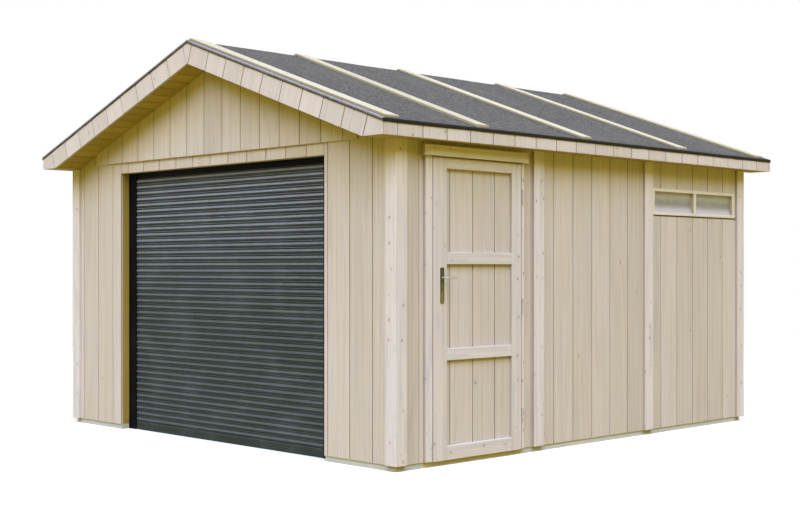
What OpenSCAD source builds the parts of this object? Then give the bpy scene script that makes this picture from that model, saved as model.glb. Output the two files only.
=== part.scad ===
// Prefab timber garage with a roller shutter in the front gable and a side door.
// Origin at the centre of its footprint on the ground, +Z up, the shutter faces -Y and
// the side door faces +X.

/* [Walls] */
// Width of the building over its corner boards
wall_w = 3930; // [3600:10:4400]
// Length of the building over its corner boards
wall_l = 4090; // [3900:10:5200]
// Height of the side walls, where the rafters sit
wall_h = 2117; // [2100:1:2500]
// Thickness of the cladding boards
cladding_t = 18; // [12:1:24]
// Depth of the studs behind the cladding
stud_d = 58; // [40:1:80]
// Width of a stud or rail
stud_w = 45; // [35:1:60]
// Cover width of one cladding board
board_w = 221; // [100:1:230]
// Width of the wall element that holds the door, from the front corner
door_element_w = 1401.5; // [1380:0.5:1500]
// Width of the wall element that holds the window, from the rear corner
window_element_w = 1367; // [1340:1:1500]
// Height of the gable's lower edge over the side walls
gable_rise = 18; // [10:1:60]
// How far the outer gable boards stop short of the wall's ends
gable_stop = 347; // [300:1:420]
// Height of the bearer under the walls
sill_h = 37.5; // [30:0.5:60]
// How far the bearer stands back from the cladding
sill_inset = 8; // [6:1:16]
// Width of the bearer
sill_w = 68; // [50:1:90]

/* [Trim] */
// Thickness of the corner boards and cover battens
trim_t = 22; // [18:1:30]
// Width of a corner board
corner_w = 104; // [80:1:140]
// Width of a cover batten
batten_w = 110; // [70:1:140]

/* [Roof] */
// Slope of the roof in degrees
roof_pitch = 19.3; // [16:0.1:24]
// Height of the roof structure, measured plumb
roof_d = 167.5; // [150:0.5:210]
// Distance from the outside of the side wall to where the rafters start to slope
seat_in = 87; // [60:1:110]
// Overhang of the front gable
front_overhang = 212; // [150:1:300]
// Overhang of the rear gable
rear_overhang = 238; // [150:1:300]
// Overhang of the eaves
side_overhang = 108; // [90:1:140]
// Thickness of the verge and eave boards
fascia_t = 18; // [15:1:24]
// Thickness of the roof boards
deck_t = 20; // [16:1:24]
// Thickness of the soffit boards
soffit_t = 16; // [12:1:20]
// Width of a rafter
rafter_w = 45; // [35:1:60]
// Height of a tie beam
tie_h = 95; // [80:1:110]
// Thickness of the roofing felt
felt_t = 5; // [3:0.5:6]
// How far the felt is turned down over the boards at its edges
felt_lap = 22; // [15:1:40]
// Width of a felt batten
lath_w = 120; // [60:1:140]
// Thickness of a felt batten
lath_t = 15; // [10:1:22]
// Distance from the felt's front edge to the first felt batten
lath_front = 36; // [20:1:80]
// Distance from the last felt batten to the felt's rear edge
lath_rear = 105; // [40:1:160]
// Distance from a felt batten's lower end to the eave
lath_end = 12; // [5:1:40]
// How far the inner felt battens lean to the rear on their way up, in degrees
lath_lean = 4.4; // [0:0.1:6]

/* [Roller shutter] */
// Width of the shutter opening
shutter_w = 2500; // [2300:10:2600]
// Height of the boarded strip between the shutter opening and the gable
lintel_h = 83; // [60:1:200]
// Height of one slat
slat_h = 47.5; // [40:0.5:60]
// Thickness of a slat at its crown
slat_t = 12; // [11:0.5:14]
// How far a slat's outer face bulges
slat_bulge = 3.5; // [2:0.5:5]
// Radius of the bead along the top of a slat
bead_r = 2.6; // [2:0.1:3]
// Width of a guide rail inside the opening
guide_w = 96; // [70:1:110]
// Width of a guide rail behind the wall, where it is fixed
guide_fix = 40; // [30:1:60]
// Depth of a guide rail
guide_d = 30; // [26:1:40]
// Height of the bottom bar
bottom_bar_h = 50.5; // [45:0.5:80]
// Size of the shutter box
box_size = 250; // [220:1:260]

/* [Side door] */
// Distance from the front corner to the doorway
door_from_corner = 266; // [240:1:300]
// Width of the door leaf
leaf_w = 872; // [800:1:900]
// Distance from the top of the side wall down to the underside of the door cap
door_head_drop = 95; // [80:1:150]
// Thickness of the frame over the leaf
door_head_t = 25; // [20:1:40]
// Gap round the door leaf
door_gap = 5; // [4:0.5:7]
// Width of the jamb on the handle side
jamb_lock_w = 65; // [50:1:80]
// Width of the jamb on the hinge side
jamb_hinge_w = 25; // [22:1:40]
// Width of the door's stiles
stile_w = 128; // [100:1:140]
// Width of the hinge side stile
hinge_stile_w = 99; // [90:1:120]
// Height of the door's middle rails
rail_h = 78; // [60:1:95]
// Height of the door's top rail
top_rail_h = 72; // [60:1:95]
// Height of the door's bottom rail
bottom_rail_h = 93; // [70:1:120]
// Height of the door's lowest panel
lower_panel_h = 560; // [450:1:650]
// Height of the door's middle panel
middle_panel_h = 553; // [450:1:650]
// Thickness of the door's boards
leaf_board_t = 22; // [18:1:26]
// How far the door's stiles and rails hang below its boards
leaf_apron = 8; // [0:1:12]
// Width of the stop behind the leaf
stop_w = 15; // [10:1:20]
// Height of the door cap
cap_h = 71; // [60:1:85]
// How far the door cap reaches past the jambs
cap_overhang = 27; // [15:1:40]

/* [Door furniture] */
// Height of the handle's spindle above the bottom of the door's boards
handle_up = 1187.5; // [900:0.5:1200]
// Distance from the leaf's edge to the spindle
handle_backset = 83; // [60:1:95]
// Width of the handle plate
plate_w = 38; // [30:1:50]
// Height of the handle plate
plate_h = 240; // [200:1:260]
// How far the handle plate reaches over the spindle
plate_up = 67; // [50:1:80]
// Bevel at the upper corners of the plate
plate_bevel = 5; // [1:0.5:12]
// Thickness of the handle plate
plate_t = 3; // [2:0.5:5]
// Radius of the lever
lever_r = 8; // [6:0.5:10]
// Radius of the lever's bend, on its middle line
lever_bend_r = 16; // [12:1:25]
// Radius of the spindle that joins both levers
spindle_r = 6; // [4:0.5:7]
// Length of the lever
lever_l = 92; // [80:1:130]
// How far the lever stands off its plate
lever_off = 40; // [35:1:55]
// Radius of a hinge knuckle
knuckle_r = 7; // [6:0.5:9]
// Radius of a hinge pin
pin_r = 3.9; // [3:0.1:4.5]
// Length of a whole hinge
hinge_l = 100; // [80:1:120]
// Distance from the leaf's ends to the outer hinges
hinge_end = 180; // [120:1:260]
// Thickness of a hinge plate
hinge_plate_t = 1.5; // [1:0.1:1.8]
// Width of a hinge plate
hinge_plate_w = 30; // [20:1:40]

/* [Window] */
// Distance from the rear corner to the window
window_from_corner = 126; // [106:1:220]
// Width of the window
window_w = 1183; // [900:1:1185]
// Height of the window
window_h = 208; // [150:1:260]
// Distance from the top of the side wall down to the window
window_drop = 198.5; // [150:0.5:300]
// Height of the window frame's rails
window_bar = 24; // [16:1:36]
// Width of the window frame's uprights
window_upright = 36; // [16:1:45]
// How far the window's frame stands out of the cladding
window_proud = 8; // [4:1:20]
// Thickness of the window's glass
glass_t = 4; // [3:0.5:8]
// How far the glass stands back from the cladding
glass_back = 20; // [10:1:50]

/* [Hidden] */
$fn = 48;

// Clearances
fit = 0.05;      // pin in its knuckle or spindle in its plate
bite = 1;        // how far a cutting shape passes the surface that it cuts
run_gap = 5;     // between the leaf and what it swings past
seat_gap = 0.2;  // between sloping pieces that lie on each other
knuckle_gap = 1; // between a hinge's halves and behind its knuckles
lever_gap = 0.5; // between a lever's neck and its plate

// Walls
half_w = wall_w / 2;
front_y = -(wall_l + front_overhang + rear_overhang) / 2 + front_overhang;
rear_y = front_y + wall_l;
face_x = half_w - trim_t;
face_front = front_y + trim_t;
face_rear = rear_y - trim_t;
wall_t = cladding_t + stud_d;
gable_z = wall_h + gable_rise;
wall_top = wall_h - sill_h;
gable_wall_top = gable_z - sill_h;
side_l = face_rear - face_front - 2 * wall_t;
joint_1 = front_y + door_element_w;
joint_2 = rear_y - window_element_w;
rear_joints = [-half_w / 3, half_w / 3];
pier_w = face_x - shutter_w / 2;
gable_end_x = face_x - gable_stop;

// Roof: x runs outwards from the ridge, s is the drop of the slope per millimetre
s = tan(roof_pitch);
soffit_ridge_z = wall_h + s * (half_w - seat_in);
roof_ridge_z = soffit_ridge_z + roof_d;
eave_x = half_w + side_overhang;
verge_front_y = front_y - front_overhang;
verge_rear_y = rear_y + rear_overhang;
plumb = 1 / cos(roof_pitch);
deck_v = deck_t * plumb;
felt_v = felt_t * plumb;
lap_v = felt_lap * plumb;
lath_v = lath_t * plumb;
soffit_v = soffit_t * plumb;
under_deck = deck_v + seat_gap;
under_soffit = roof_d + seat_gap;
on_felt = felt_v + 2 * seat_gap;
ridge_gap = 1;
tail_x = eave_x - fascia_t;
lath_first = verge_front_y - felt_t + lath_front;
lath_last = verge_rear_y + felt_t - lath_rear - lath_w;
lath_shares = [0, 0.193, 0.451, 0.736, 1];
function roof_z(x) = roof_ridge_z - s * x;
function soffit_z(x) = max(wall_h, soffit_ridge_z - s * x);

// Side door
door_head_z = wall_h - door_head_drop;
leaf_front_y = front_y + door_from_corner + jamb_lock_w + door_gap;
leaf_rear_y = leaf_front_y + leaf_w;
doorway_y0 = front_y + door_from_corner;
doorway_y1 = leaf_rear_y + door_gap + jamb_hinge_w;
leaf_top = door_head_z - run_gap;
leaf_bottom = sill_h + run_gap;
leaf_inner_x = face_x - leaf_board_t;
hinge_x = half_w + knuckle_r + knuckle_gap;
jamb_face_y = leaf_rear_y + door_gap;
hinge_y = leaf_rear_y + door_gap / 2;
hinge_zs = [leaf_bottom + hinge_end,
            (leaf_bottom + leaf_top - hinge_l) / 2,
            leaf_top - hinge_end - hinge_l];
handle_y = leaf_front_y + handle_backset;
handle_z = leaf_bottom + handle_up;
leaf_foot = leaf_bottom - leaf_apron;
spindle_clear = 4;   // round the spindle inside the leaf

// Window
window_y1 = rear_y - window_from_corner;
window_y0 = window_y1 - window_w;
window_z = wall_h - window_drop - window_h;
pane_w = (window_w - 3 * window_upright) / 2;
pane_h = window_h - 2 * window_bar;
pane_ys = [window_y0 + window_upright, window_y1 - window_upright - pane_w];

// Roller shutter
shutter_h = gable_z - lintel_h;
wall_inner_y = face_front + wall_t;
curtain_y = wall_inner_y + guide_d / 2;
curtain_half = shutter_w / 2 - guide_w / 2;
slot_gap = 1;        // before and behind the curtain
slat_count = ceil((shutter_h - bottom_bar_h) / slat_h) + 1;
slat_gap = 0.6;      // between one slat's top and the next one's foot
bead_fit = 0.4;      // round a bead in its socket
foot_t = 2;          // under a slat's socket
socket_z = bead_r + bead_fit + foot_t;
neck_t = 1.8;        // of the neck that carries a bead
bulge_fn = 180;      // facets of a slat's wide bulge
curtain_top = bottom_bar_h + slat_count * slat_h;

// Box given by its low and high corners
module block(low, high) {
    translate(low)
        cube(high - low);
}

// Prefabricated wall element: cladding outside, studs and rails inside, its bays open to
// the inside. Its outer face lies on y = 0 and it runs along +x from the origin.
module wall_element(length, height, bay_top = 0) {
    top = (bay_top > 0 ? bay_top : height) - stud_w;
    bays = ceil((length - stud_w) / (2 * board_w));
    pitch = (length - stud_w) / bays;
    difference() {
        cube([length, wall_t, height]);
        for (i = [0 : bays - 1])
            translate([stud_w + i * pitch, cladding_t, stud_w])
                cube([pitch - stud_w, stud_d + bite, top - stud_w]);
    }
}

// The same element standing on the bearer of each side
module on_front(x) {
    translate([x, face_front, sill_h])
        children();
}

module on_rear(x) {
    translate([x, face_rear, sill_h])
        rotate([0, 0, 180])
            children();
}

module on_right(y) {
    translate([face_x, y, sill_h])
        rotate([0, 0, 90])
            children();
}

module on_left(y) {
    translate([-face_x, y, sill_h])
        rotate([0, 0, -90])
            children();
}

module both_sides() {
    children();
    mirror([1, 0, 0])
        children();
}

// A gable shape drawn in the X-Z plane, pushed from y0 to y1
module plumb_plate(y0, y1) {
    translate([0, y1, 0])
        rotate([90, 0, 0])
            linear_extrude(y1 - y0)
                children();
}

module sill_front() {
    color("lightgray")
        both_sides()
            block([shutter_w / 2, face_front + sill_inset, 0],
                  [face_x - sill_inset, face_front + sill_inset + sill_w, sill_h]);
}

module sill_sides() {
    color("lightgray") {
        block([-face_x + sill_inset, face_front + sill_inset + sill_w, 0],
              [-face_x + sill_inset + sill_w, face_rear - sill_inset - sill_w, sill_h]);
        block([face_x - sill_inset - sill_w, face_front + sill_inset + sill_w, 0],
              [face_x - sill_inset, doorway_y0, sill_h]);
        block([face_x - sill_inset - sill_w, doorway_y1, 0],
              [face_x - sill_inset, face_rear - sill_inset - sill_w, sill_h]);
    }
}

module sill_rear() {
    color("lightgray")
        block([-face_x + sill_inset, face_rear - sill_inset - sill_w, 0],
              [face_x - sill_inset, face_rear - sill_inset, sill_h]);
}

module front_wall_left() {
    color("tan")
        on_front(-face_x)
            wall_element(pier_w, gable_wall_top);
}

module front_wall_right() {
    color("tan")
        on_front(shutter_w / 2)
            wall_element(pier_w, gable_wall_top);
}

module front_lintel() {
    color("tan")
        block([-shutter_w / 2, face_front, shutter_h],
              [shutter_w / 2, face_front + wall_t, gable_z]);
}

// Panel that fills a gable from the wall's top to the underside of the roof boards
module gable_outline(x_end, top_drop) {
    polygon([[-x_end, gable_z],
             [x_end, gable_z],
             [x_end, roof_z(x_end) - top_drop],
             [0, roof_z(0) - top_drop],
             [-x_end, roof_z(x_end) - top_drop]]);
}

module front_gable() {
    color("tan") {
        plumb_plate(face_front, face_front + wall_t)
            gable_outline(face_x, under_deck);
        plumb_plate(face_front - cladding_t, face_front)
            gable_outline(gable_end_x, under_soffit);
    }
}

module rear_wall() {
    color("tan")
        on_rear(face_x)
            wall_element(2 * face_x, gable_wall_top);
}

module rear_gable() {
    color("tan") {
        plumb_plate(face_rear - wall_t, face_rear)
            gable_outline(face_x, under_deck);
        plumb_plate(face_rear, face_rear + cladding_t)
            gable_outline(gable_end_x, under_soffit);
    }
}

module left_wall() {
    color("tan")
        on_left(face_rear - wall_t)
            wall_element(side_l, wall_top);
}

module right_wall_corner() {
    color("tan")
        on_right(face_front + wall_t)
            wall_element(doorway_y0 - face_front - wall_t, wall_top);
}

module right_wall_hinge_side() {
    color("tan")
        on_right(doorway_y1)
            wall_element(joint_1 - doorway_y1, wall_top);
}

module right_wall_over_door() {
    color("tan")
        block([face_x - wall_t, doorway_y0, door_head_z + door_head_t],
              [face_x, doorway_y1, wall_h]);
}

module right_wall_middle() {
    color("tan")
        on_right(joint_1)
            wall_element(joint_2 - joint_1, wall_top);
}

module right_wall_window() {
    color("tan")
        difference() {
            on_right(joint_2)
                wall_element(face_rear - wall_t - joint_2, wall_top, window_z - sill_h);
            block([face_x - wall_t - bite, window_y0, window_z],
                  [face_x + bite, window_y1, window_z + window_h]);
        }
}

module corner_boards_gables() {
    color("bisque")
        both_sides() {
            block([half_w - corner_w, front_y, sill_h], [half_w - trim_t, face_front, wall_h]);
            block([half_w - corner_w, face_rear, sill_h], [half_w - trim_t, rear_y, wall_h]);
        }
}

module corner_boards_sides() {
    color("bisque")
        both_sides() {
            block([face_x, front_y, sill_h], [half_w, front_y + corner_w, wall_h]);
            block([face_x, rear_y - corner_w, sill_h], [half_w, rear_y, wall_h]);
        }
}

module cover_battens() {
    color("bisque") {
        both_sides()
            for (y = [joint_1, joint_2])
                block([face_x, y - batten_w / 2, sill_h], [half_w, y + batten_w / 2, wall_h]);
        for (x = rear_joints)
            block([x - batten_w / 2, face_rear, sill_h], [x + batten_w / 2, rear_y, gable_z]);
    }
}

// Rafter of the right slope: it sits level on the side wall and its tail runs on over
// the eave's soffit
module rafter_outline() {
    polygon([[ridge_gap, roof_z(ridge_gap) - under_deck],
             [tail_x, roof_z(tail_x) - under_deck],
             [tail_x, wall_h + soffit_t],
             [face_x, wall_h + soffit_t],
             [face_x, wall_h],
             [half_w - seat_in, wall_h],
             [ridge_gap, soffit_z(ridge_gap)]]);
}

module rafters() {
    color("burlywood")
        both_sides()
            for (y = [joint_1, joint_2])
                plumb_plate(y - rafter_w / 2, y + rafter_w / 2)
                    rafter_outline();
}

module tie_beams() {
    color("burlywood")
        for (y = [joint_1, joint_2])
            block([-face_x + wall_t, y + rafter_w / 2, wall_h - tie_h],
                  [face_x - wall_t, y + rafter_w / 2 + rafter_w, wall_h]);
}

// Boards of one slope between the two verges
module deck_outline() {
    polygon([[0, roof_z(0)],
             [tail_x, roof_z(tail_x)],
             [tail_x, roof_z(tail_x) - deck_v],
             [0, roof_z(0) - deck_v]]);
}

module roof_deck_right() {
    color("burlywood")
        plumb_plate(verge_front_y + fascia_t, verge_rear_y - fascia_t)
            deck_outline();
}

module roof_deck_left() {
    mirror([1, 0, 0])
        roof_deck_right();
}

// Boards under the overhang of a gable, level over the side wall
module soffit_outline() {
    polygon([[ridge_gap, soffit_z(ridge_gap)],
             [half_w - seat_in, wall_h],
             [face_x, wall_h],
             [face_x, wall_h + soffit_t],
             [half_w - seat_in, wall_h + soffit_t],
             [ridge_gap, soffit_z(ridge_gap) + soffit_v]]);
}

module soffits() {
    color("burlywood")
        both_sides() {
            plumb_plate(verge_front_y + fascia_t, face_front)
                soffit_outline();
            plumb_plate(face_rear, verge_rear_y - fascia_t)
                soffit_outline();
        }
}

module verge_outline() {
    polygon([[0, roof_z(0)],
             [eave_x, roof_z(eave_x)],
             [eave_x, wall_h],
             [half_w - seat_in, wall_h],
             [0, soffit_z(0)]]);
}

module verge_boards_right() {
    color("bisque") {
        plumb_plate(verge_front_y, verge_front_y + fascia_t)
            verge_outline();
        plumb_plate(verge_rear_y - fascia_t, verge_rear_y)
            verge_outline();
    }
}

module verge_boards_left() {
    mirror([1, 0, 0])
        verge_boards_right();
}

// Fascia of each eave with the soffit board that closes it back to the wall
module eave_boards() {
    color("bisque")
        both_sides()
            plumb_plate(verge_front_y + fascia_t, verge_rear_y - fascia_t)
                polygon([[face_x, wall_h],
                         [eave_x, wall_h],
                         [eave_x, roof_z(eave_x)],
                         [tail_x, roof_z(tail_x)],
                         [tail_x, wall_h + soffit_t],
                         [face_x, wall_h + soffit_t]]);
}

// Felt of one slope, turned down over the eave and both verges
module roof_felt_right() {
    color("dimgray") {
        plumb_plate(verge_front_y - felt_t, verge_rear_y + felt_t)
            polygon([[0, roof_z(0) + seat_gap],
                     [eave_x, roof_z(eave_x) + seat_gap],
                     [eave_x, roof_z(eave_x) - lap_v],
                     [eave_x + felt_t, roof_z(eave_x) - lap_v],
                     [eave_x + felt_t, roof_z(eave_x + felt_t) + seat_gap + felt_v],
                     [0, roof_z(0) + seat_gap + felt_v]]);
        for (y = [verge_front_y - felt_t, verge_rear_y])
            plumb_plate(y, y + felt_t)
                polygon([[0, roof_z(0) + seat_gap],
                         [eave_x, roof_z(eave_x) + seat_gap],
                         [eave_x, roof_z(eave_x) - lap_v],
                         [0, roof_z(0) - lap_v]]);
    }
}

module roof_felt_left() {
    mirror([1, 0, 0])
        roof_felt_right();
}

// Batten of the right slope, its lower end's front corner at y, leaning to the rear
module felt_batten(y, lean) {
    low_x = eave_x - lath_end;
    rise = (low_x - ridge_gap) * tan(lean);
    intersection() {
        plumb_plate(y, y + rise + lath_w)
            polygon([[ridge_gap, roof_z(ridge_gap) + on_felt],
                     [low_x, roof_z(low_x) + on_felt],
                     [low_x, roof_z(low_x) + on_felt + lath_v],
                     [ridge_gap, roof_z(ridge_gap) + on_felt + lath_v]]);
        linear_extrude(2 * roof_ridge_z)
            polygon([[ridge_gap, y + rise],
                     [low_x, y],
                     [low_x, y + lath_w],
                     [ridge_gap, y + rise + lath_w]]);
    }
}

// Battens that hold the felt down: the outer two square to the ridge, the others leaning
module felt_battens() {
    last = len(lath_shares) - 1;
    color("cornsilk")
        both_sides()
            for (i = [0 : last])
                felt_batten(lath_first + lath_shares[i] * (lath_last - lath_first),
                            i > 0 && i < last ? lath_lean : 0);
}

// Bead on a neck, standing on z = 0 of the slat over it
module bead_section() {
    translate([0, socket_z])
        circle(r = bead_r);
    translate([-neck_t / 2, -slat_gap - bite])
        square([neck_t, socket_z + slat_gap + bite]);
}

// Section of one slat: its outer face bulges towards +x, a bead runs along its top, and
// the socket along its foot takes the bead of the slat below
module slat_section() {
    top = slat_h - slat_gap;
    bulge_r = (pow(top / 2, 2) + pow(slat_bulge, 2)) / (2 * slat_bulge);
    difference() {
        intersection() {
            translate([-slat_t / 2, 0])
                square([slat_t, top]);
            translate([slat_t / 2 - bulge_r, top / 2])
                circle(r = bulge_r, $fn = bulge_fn);
        }
        translate([0, socket_z])
            circle(r = bead_r + bead_fit);
        translate([-neck_t / 2 - bead_fit, -bite])
            square([neck_t + 2 * bead_fit, socket_z + bite]);
    }
    translate([0, slat_h])
        bead_section();
}

// Stands a section up in the shutter's opening, its +x side facing out
module along_shutter(z) {
    translate([curtain_half, curtain_y, z])
        rotate([90, 0, -90])
            linear_extrude(2 * curtain_half)
                children();
}

module shutter_curtain() {
    color("darkslategray")
        for (i = [0 : slat_count - 1])
            along_shutter(bottom_bar_h + i * slat_h)
                slat_section();
}

// Slot in which the curtain runs, its slats' ends against the bottom of the slot
module curtain_slot(z0, z1) {
    block([-curtain_half, curtain_y - slat_t / 2 - slot_gap, z0],
          [curtain_half, curtain_y + slat_t / 2 + slot_gap, z1]);
}

module shutter_guides() {
    color("darkslategray")
        difference() {
            both_sides()
                block([shutter_w / 2 - guide_w, wall_inner_y, 0],
                      [shutter_w / 2 + guide_fix, wall_inner_y + guide_d, shutter_h]);
            curtain_slot(-bite, shutter_h + bite);
        }
}

// Bottom bar with a bead that holds the lowest slat
module shutter_bottom_bar() {
    color("darkslategray")
        along_shutter(0) {
            translate([-slat_t / 2, 0])
                square([slat_t, bottom_bar_h - slat_gap]);
            translate([0, bottom_bar_h])
                bead_section();
        }
}

module shutter_box() {
    color("darkslategray")
        difference() {
            block([-shutter_w / 2 - guide_fix, wall_inner_y, shutter_h],
                  [shutter_w / 2 + guide_fix, wall_inner_y + box_size, shutter_h + box_size]);
            curtain_slot(shutter_h - bite, curtain_top + slat_h);
        }
}

// Jambs run through the wall and carry a stop behind the leaf
module jamb(y_out, y_in, y_stop) {
    block([face_x - wall_t, min(y_out, y_in), sill_h],
          [half_w, max(y_out, y_in), door_head_z]);
    block([face_x - wall_t, min(y_in, y_stop), sill_h],
          [leaf_inner_x - run_gap, max(y_in, y_stop), door_head_z]);
}

module door_jambs() {
    color("bisque") {
        jamb(doorway_y0, leaf_front_y - door_gap, leaf_front_y - door_gap + stop_w);
        jamb(doorway_y1, leaf_rear_y + door_gap, leaf_rear_y + door_gap - stop_w);
    }
}

module door_cap() {
    color("bisque") {
        block([face_x - wall_t, doorway_y0, door_head_z],
              [face_x, doorway_y1, door_head_z + door_head_t]);
        block([face_x, doorway_y0 - cap_overhang, door_head_z],
              [half_w + trim_t, doorway_y1 + cap_overhang, door_head_z + cap_h]);
    }
}

module door_threshold() {
    color("darkolivegreen")
        block([face_x - wall_t, doorway_y0, 0], [face_x - sill_inset, doorway_y1, sill_h]);
}

// Clear hole through the leaf for the handle's spindle
module spindle_hole() {
    translate([leaf_inner_x - bite, handle_y, handle_z])
        rotate([0, 90, 0])
            cylinder(h = leaf_board_t + trim_t + 2 * bite, r = spindle_r + spindle_clear);
}

module door_boards() {
    color("tan")
        difference() {
            block([leaf_inner_x, leaf_front_y, leaf_bottom], [face_x, leaf_rear_y, leaf_top]);
            spindle_hole();
        }
}

module door_stiles() {
    color("bisque")
        difference() {
            union() {
                block([face_x, leaf_front_y, leaf_foot],
                      [half_w, leaf_front_y + stile_w, leaf_top]);
                block([face_x, leaf_rear_y - hinge_stile_w, leaf_foot],
                      [half_w, leaf_rear_y, leaf_top]);
            }
            spindle_hole();
        }
}

module door_rail(z, h) {
    block([face_x, leaf_front_y + stile_w, z], [half_w, leaf_rear_y - hinge_stile_w, z + h]);
}

module door_rails() {
    color("bisque") {
        door_rail(leaf_foot, bottom_rail_h);
        door_rail(leaf_foot + bottom_rail_h + lower_panel_h, rail_h);
        door_rail(leaf_foot + bottom_rail_h + lower_panel_h + rail_h + middle_panel_h, rail_h);
        door_rail(leaf_top - top_rail_h, top_rail_h);
    }
}

// Upper half of each hinge with its pin, on the jamb
module door_hinge_pins() {
    upper_z = hinge_l / 2 + knuckle_gap;
    color("silver")
        for (z = hinge_zs)
            translate([hinge_x, 0, z]) {
                translate([0, hinge_y, 0])
                    cylinder(h = hinge_l, r = pin_r);
                translate([0, hinge_y, upper_z])
                    cylinder(h = hinge_l - upper_z, r = knuckle_r);
                block([-knuckle_r - hinge_plate_w, jamb_face_y - hinge_plate_t, upper_z],
                      [0, jamb_face_y, hinge_l]);
            }
}

// Lower half of each hinge, on the leaf
module door_hinge_knuckles() {
    color("silver")
        for (z = hinge_zs)
            translate([hinge_x, 0, z])
                difference() {
                    union() {
                        translate([0, hinge_y, 0])
                            cylinder(h = hinge_l / 2, r = knuckle_r);
                        block([-knuckle_r - hinge_plate_w, leaf_rear_y, 0],
                              [0, leaf_rear_y + hinge_plate_t, hinge_l / 2]);
                    }
                    translate([0, hinge_y, -bite])
                        cylinder(h = hinge_l, r = pin_r + fit);
                }
}

// Plate with a bevelled head and a round foot, flat on y-z, its spindle at the origin
module handle_plate() {
    end_r = plate_w / 2;
    foot = plate_h - plate_up - end_r;
    shoulder = plate_bevel - plate_up;
    rotate([0, 90, 0])
        linear_extrude(plate_t) {
            polygon([[-plate_up, plate_bevel - end_r], [-plate_up, end_r - plate_bevel],
                     [shoulder, end_r], [foot, end_r],
                     [foot, -end_r], [shoulder, -end_r]]);
            translate([foot, 0])
                circle(r = end_r);
        }
}

// Plates inside and outside the leaf, each bored for the spindle
module handle_plates() {
    color("darkolivegreen")
        difference() {
            for (x = [leaf_inner_x - plate_t, half_w])
                translate([x, handle_y, handle_z])
                    handle_plate();
            translate([leaf_inner_x - plate_t - bite, handle_y, handle_z])
                rotate([0, 90, 0])
                    cylinder(h = leaf_board_t + trim_t + 2 * plate_t + 2 * bite, r = spindle_r + fit);
        }
}

// Lever whose neck leaves a plate at x = 0 and bends round to run along +y
module lever_arm() {
    bend_x = lever_off - lever_bend_r;
    translate([lever_gap, 0, 0])
        rotate([0, 90, 0])
            cylinder(h = bend_x - lever_gap, r = lever_r);
    translate([bend_x, lever_bend_r, 0])
        rotate([0, 0, -90])
            rotate_extrude(angle = 90)
                translate([lever_bend_r, 0])
                    circle(r = lever_r);
    translate([lever_off, lever_bend_r, 0])
        rotate([-90, 0, 0])
            cylinder(h = lever_l - lever_bend_r, r = lever_r);
    translate([lever_off, lever_l, 0])
        sphere(r = lever_r);
}

// Both levers on one spindle that passes through the leaf
module handle_lever() {
    inner = leaf_inner_x - plate_t;
    outer = half_w + plate_t;
    color("silver")
        translate([0, handle_y, handle_z]) {
            translate([outer, 0, 0])
                lever_arm();
            translate([inner, 0, 0])
                mirror([1, 0, 0])
                    lever_arm();
            translate([inner - lever_gap - bite, 0, 0])
                rotate([0, 90, 0])
                    cylinder(h = outer - inner + 2 * (lever_gap + bite), r = spindle_r);
        }
}

module window_frame() {
    color("antiquewhite")
        difference() {
            block([face_x - wall_t, window_y0, window_z],
                  [face_x + window_proud, window_y1, window_z + window_h]);
            for (y = pane_ys)
                block([face_x - wall_t - bite, y, window_z + window_bar],
                      [face_x + window_proud + bite, y + pane_w, window_z + window_bar + pane_h]);
        }
}

module window_glass() {
    color("lightcyan")
        for (y = pane_ys)
            block([face_x - glass_back, y, window_z + window_bar],
                  [face_x - glass_back + glass_t, y + pane_w, window_z + window_bar + pane_h]);
}

sill_front();
sill_sides();
sill_rear();
front_wall_left();
front_wall_right();
front_lintel();
front_gable();
rear_wall();
rear_gable();
left_wall();
right_wall_corner();
right_wall_hinge_side();
right_wall_over_door();
right_wall_middle();
right_wall_window();
corner_boards_gables();
corner_boards_sides();
cover_battens();
rafters();
tie_beams();
roof_deck_left();
roof_deck_right();
soffits();
verge_boards_left();
verge_boards_right();
eave_boards();
roof_felt_left();
roof_felt_right();
felt_battens();
shutter_curtain();
shutter_guides();
shutter_bottom_bar();
shutter_box();
door_jambs();
door_cap();
door_threshold();
door_boards();
door_stiles();
door_rails();
door_hinge_pins();
door_hinge_knuckles();
handle_plates();
handle_lever();
window_frame();
window_glass();
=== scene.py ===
import math
import random

import bmesh
import bpy
from mathutils import Matrix, Vector


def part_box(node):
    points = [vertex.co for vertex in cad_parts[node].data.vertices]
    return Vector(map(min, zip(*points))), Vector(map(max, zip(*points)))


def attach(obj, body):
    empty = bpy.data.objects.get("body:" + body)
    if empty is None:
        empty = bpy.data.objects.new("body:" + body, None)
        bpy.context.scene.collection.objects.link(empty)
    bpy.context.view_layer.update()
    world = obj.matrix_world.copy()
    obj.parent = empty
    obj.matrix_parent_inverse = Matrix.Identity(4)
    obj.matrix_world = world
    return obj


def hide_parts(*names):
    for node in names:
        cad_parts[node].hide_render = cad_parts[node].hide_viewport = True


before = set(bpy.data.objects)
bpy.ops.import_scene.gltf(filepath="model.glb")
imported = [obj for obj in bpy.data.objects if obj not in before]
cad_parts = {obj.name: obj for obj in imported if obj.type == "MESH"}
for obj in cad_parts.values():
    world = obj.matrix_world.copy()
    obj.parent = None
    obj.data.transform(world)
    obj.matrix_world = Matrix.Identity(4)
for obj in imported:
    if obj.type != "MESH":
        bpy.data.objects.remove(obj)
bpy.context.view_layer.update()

bl_info = {
    "name": "Prefab timber garage",
    "version": (1, 0, 0),
    "blender": (4, 5, 0),
    "location": "View3D > Sidebar > Garage",
    "description": "Dresses the solids of a timber garage with boards, felt, shutter slats and hardware",
    "category": "Object",
}


# Places read from the solids -----------------------------------------------------------


def low(node):
    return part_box(node)[0]


def high(node):
    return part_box(node)[1]


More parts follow.
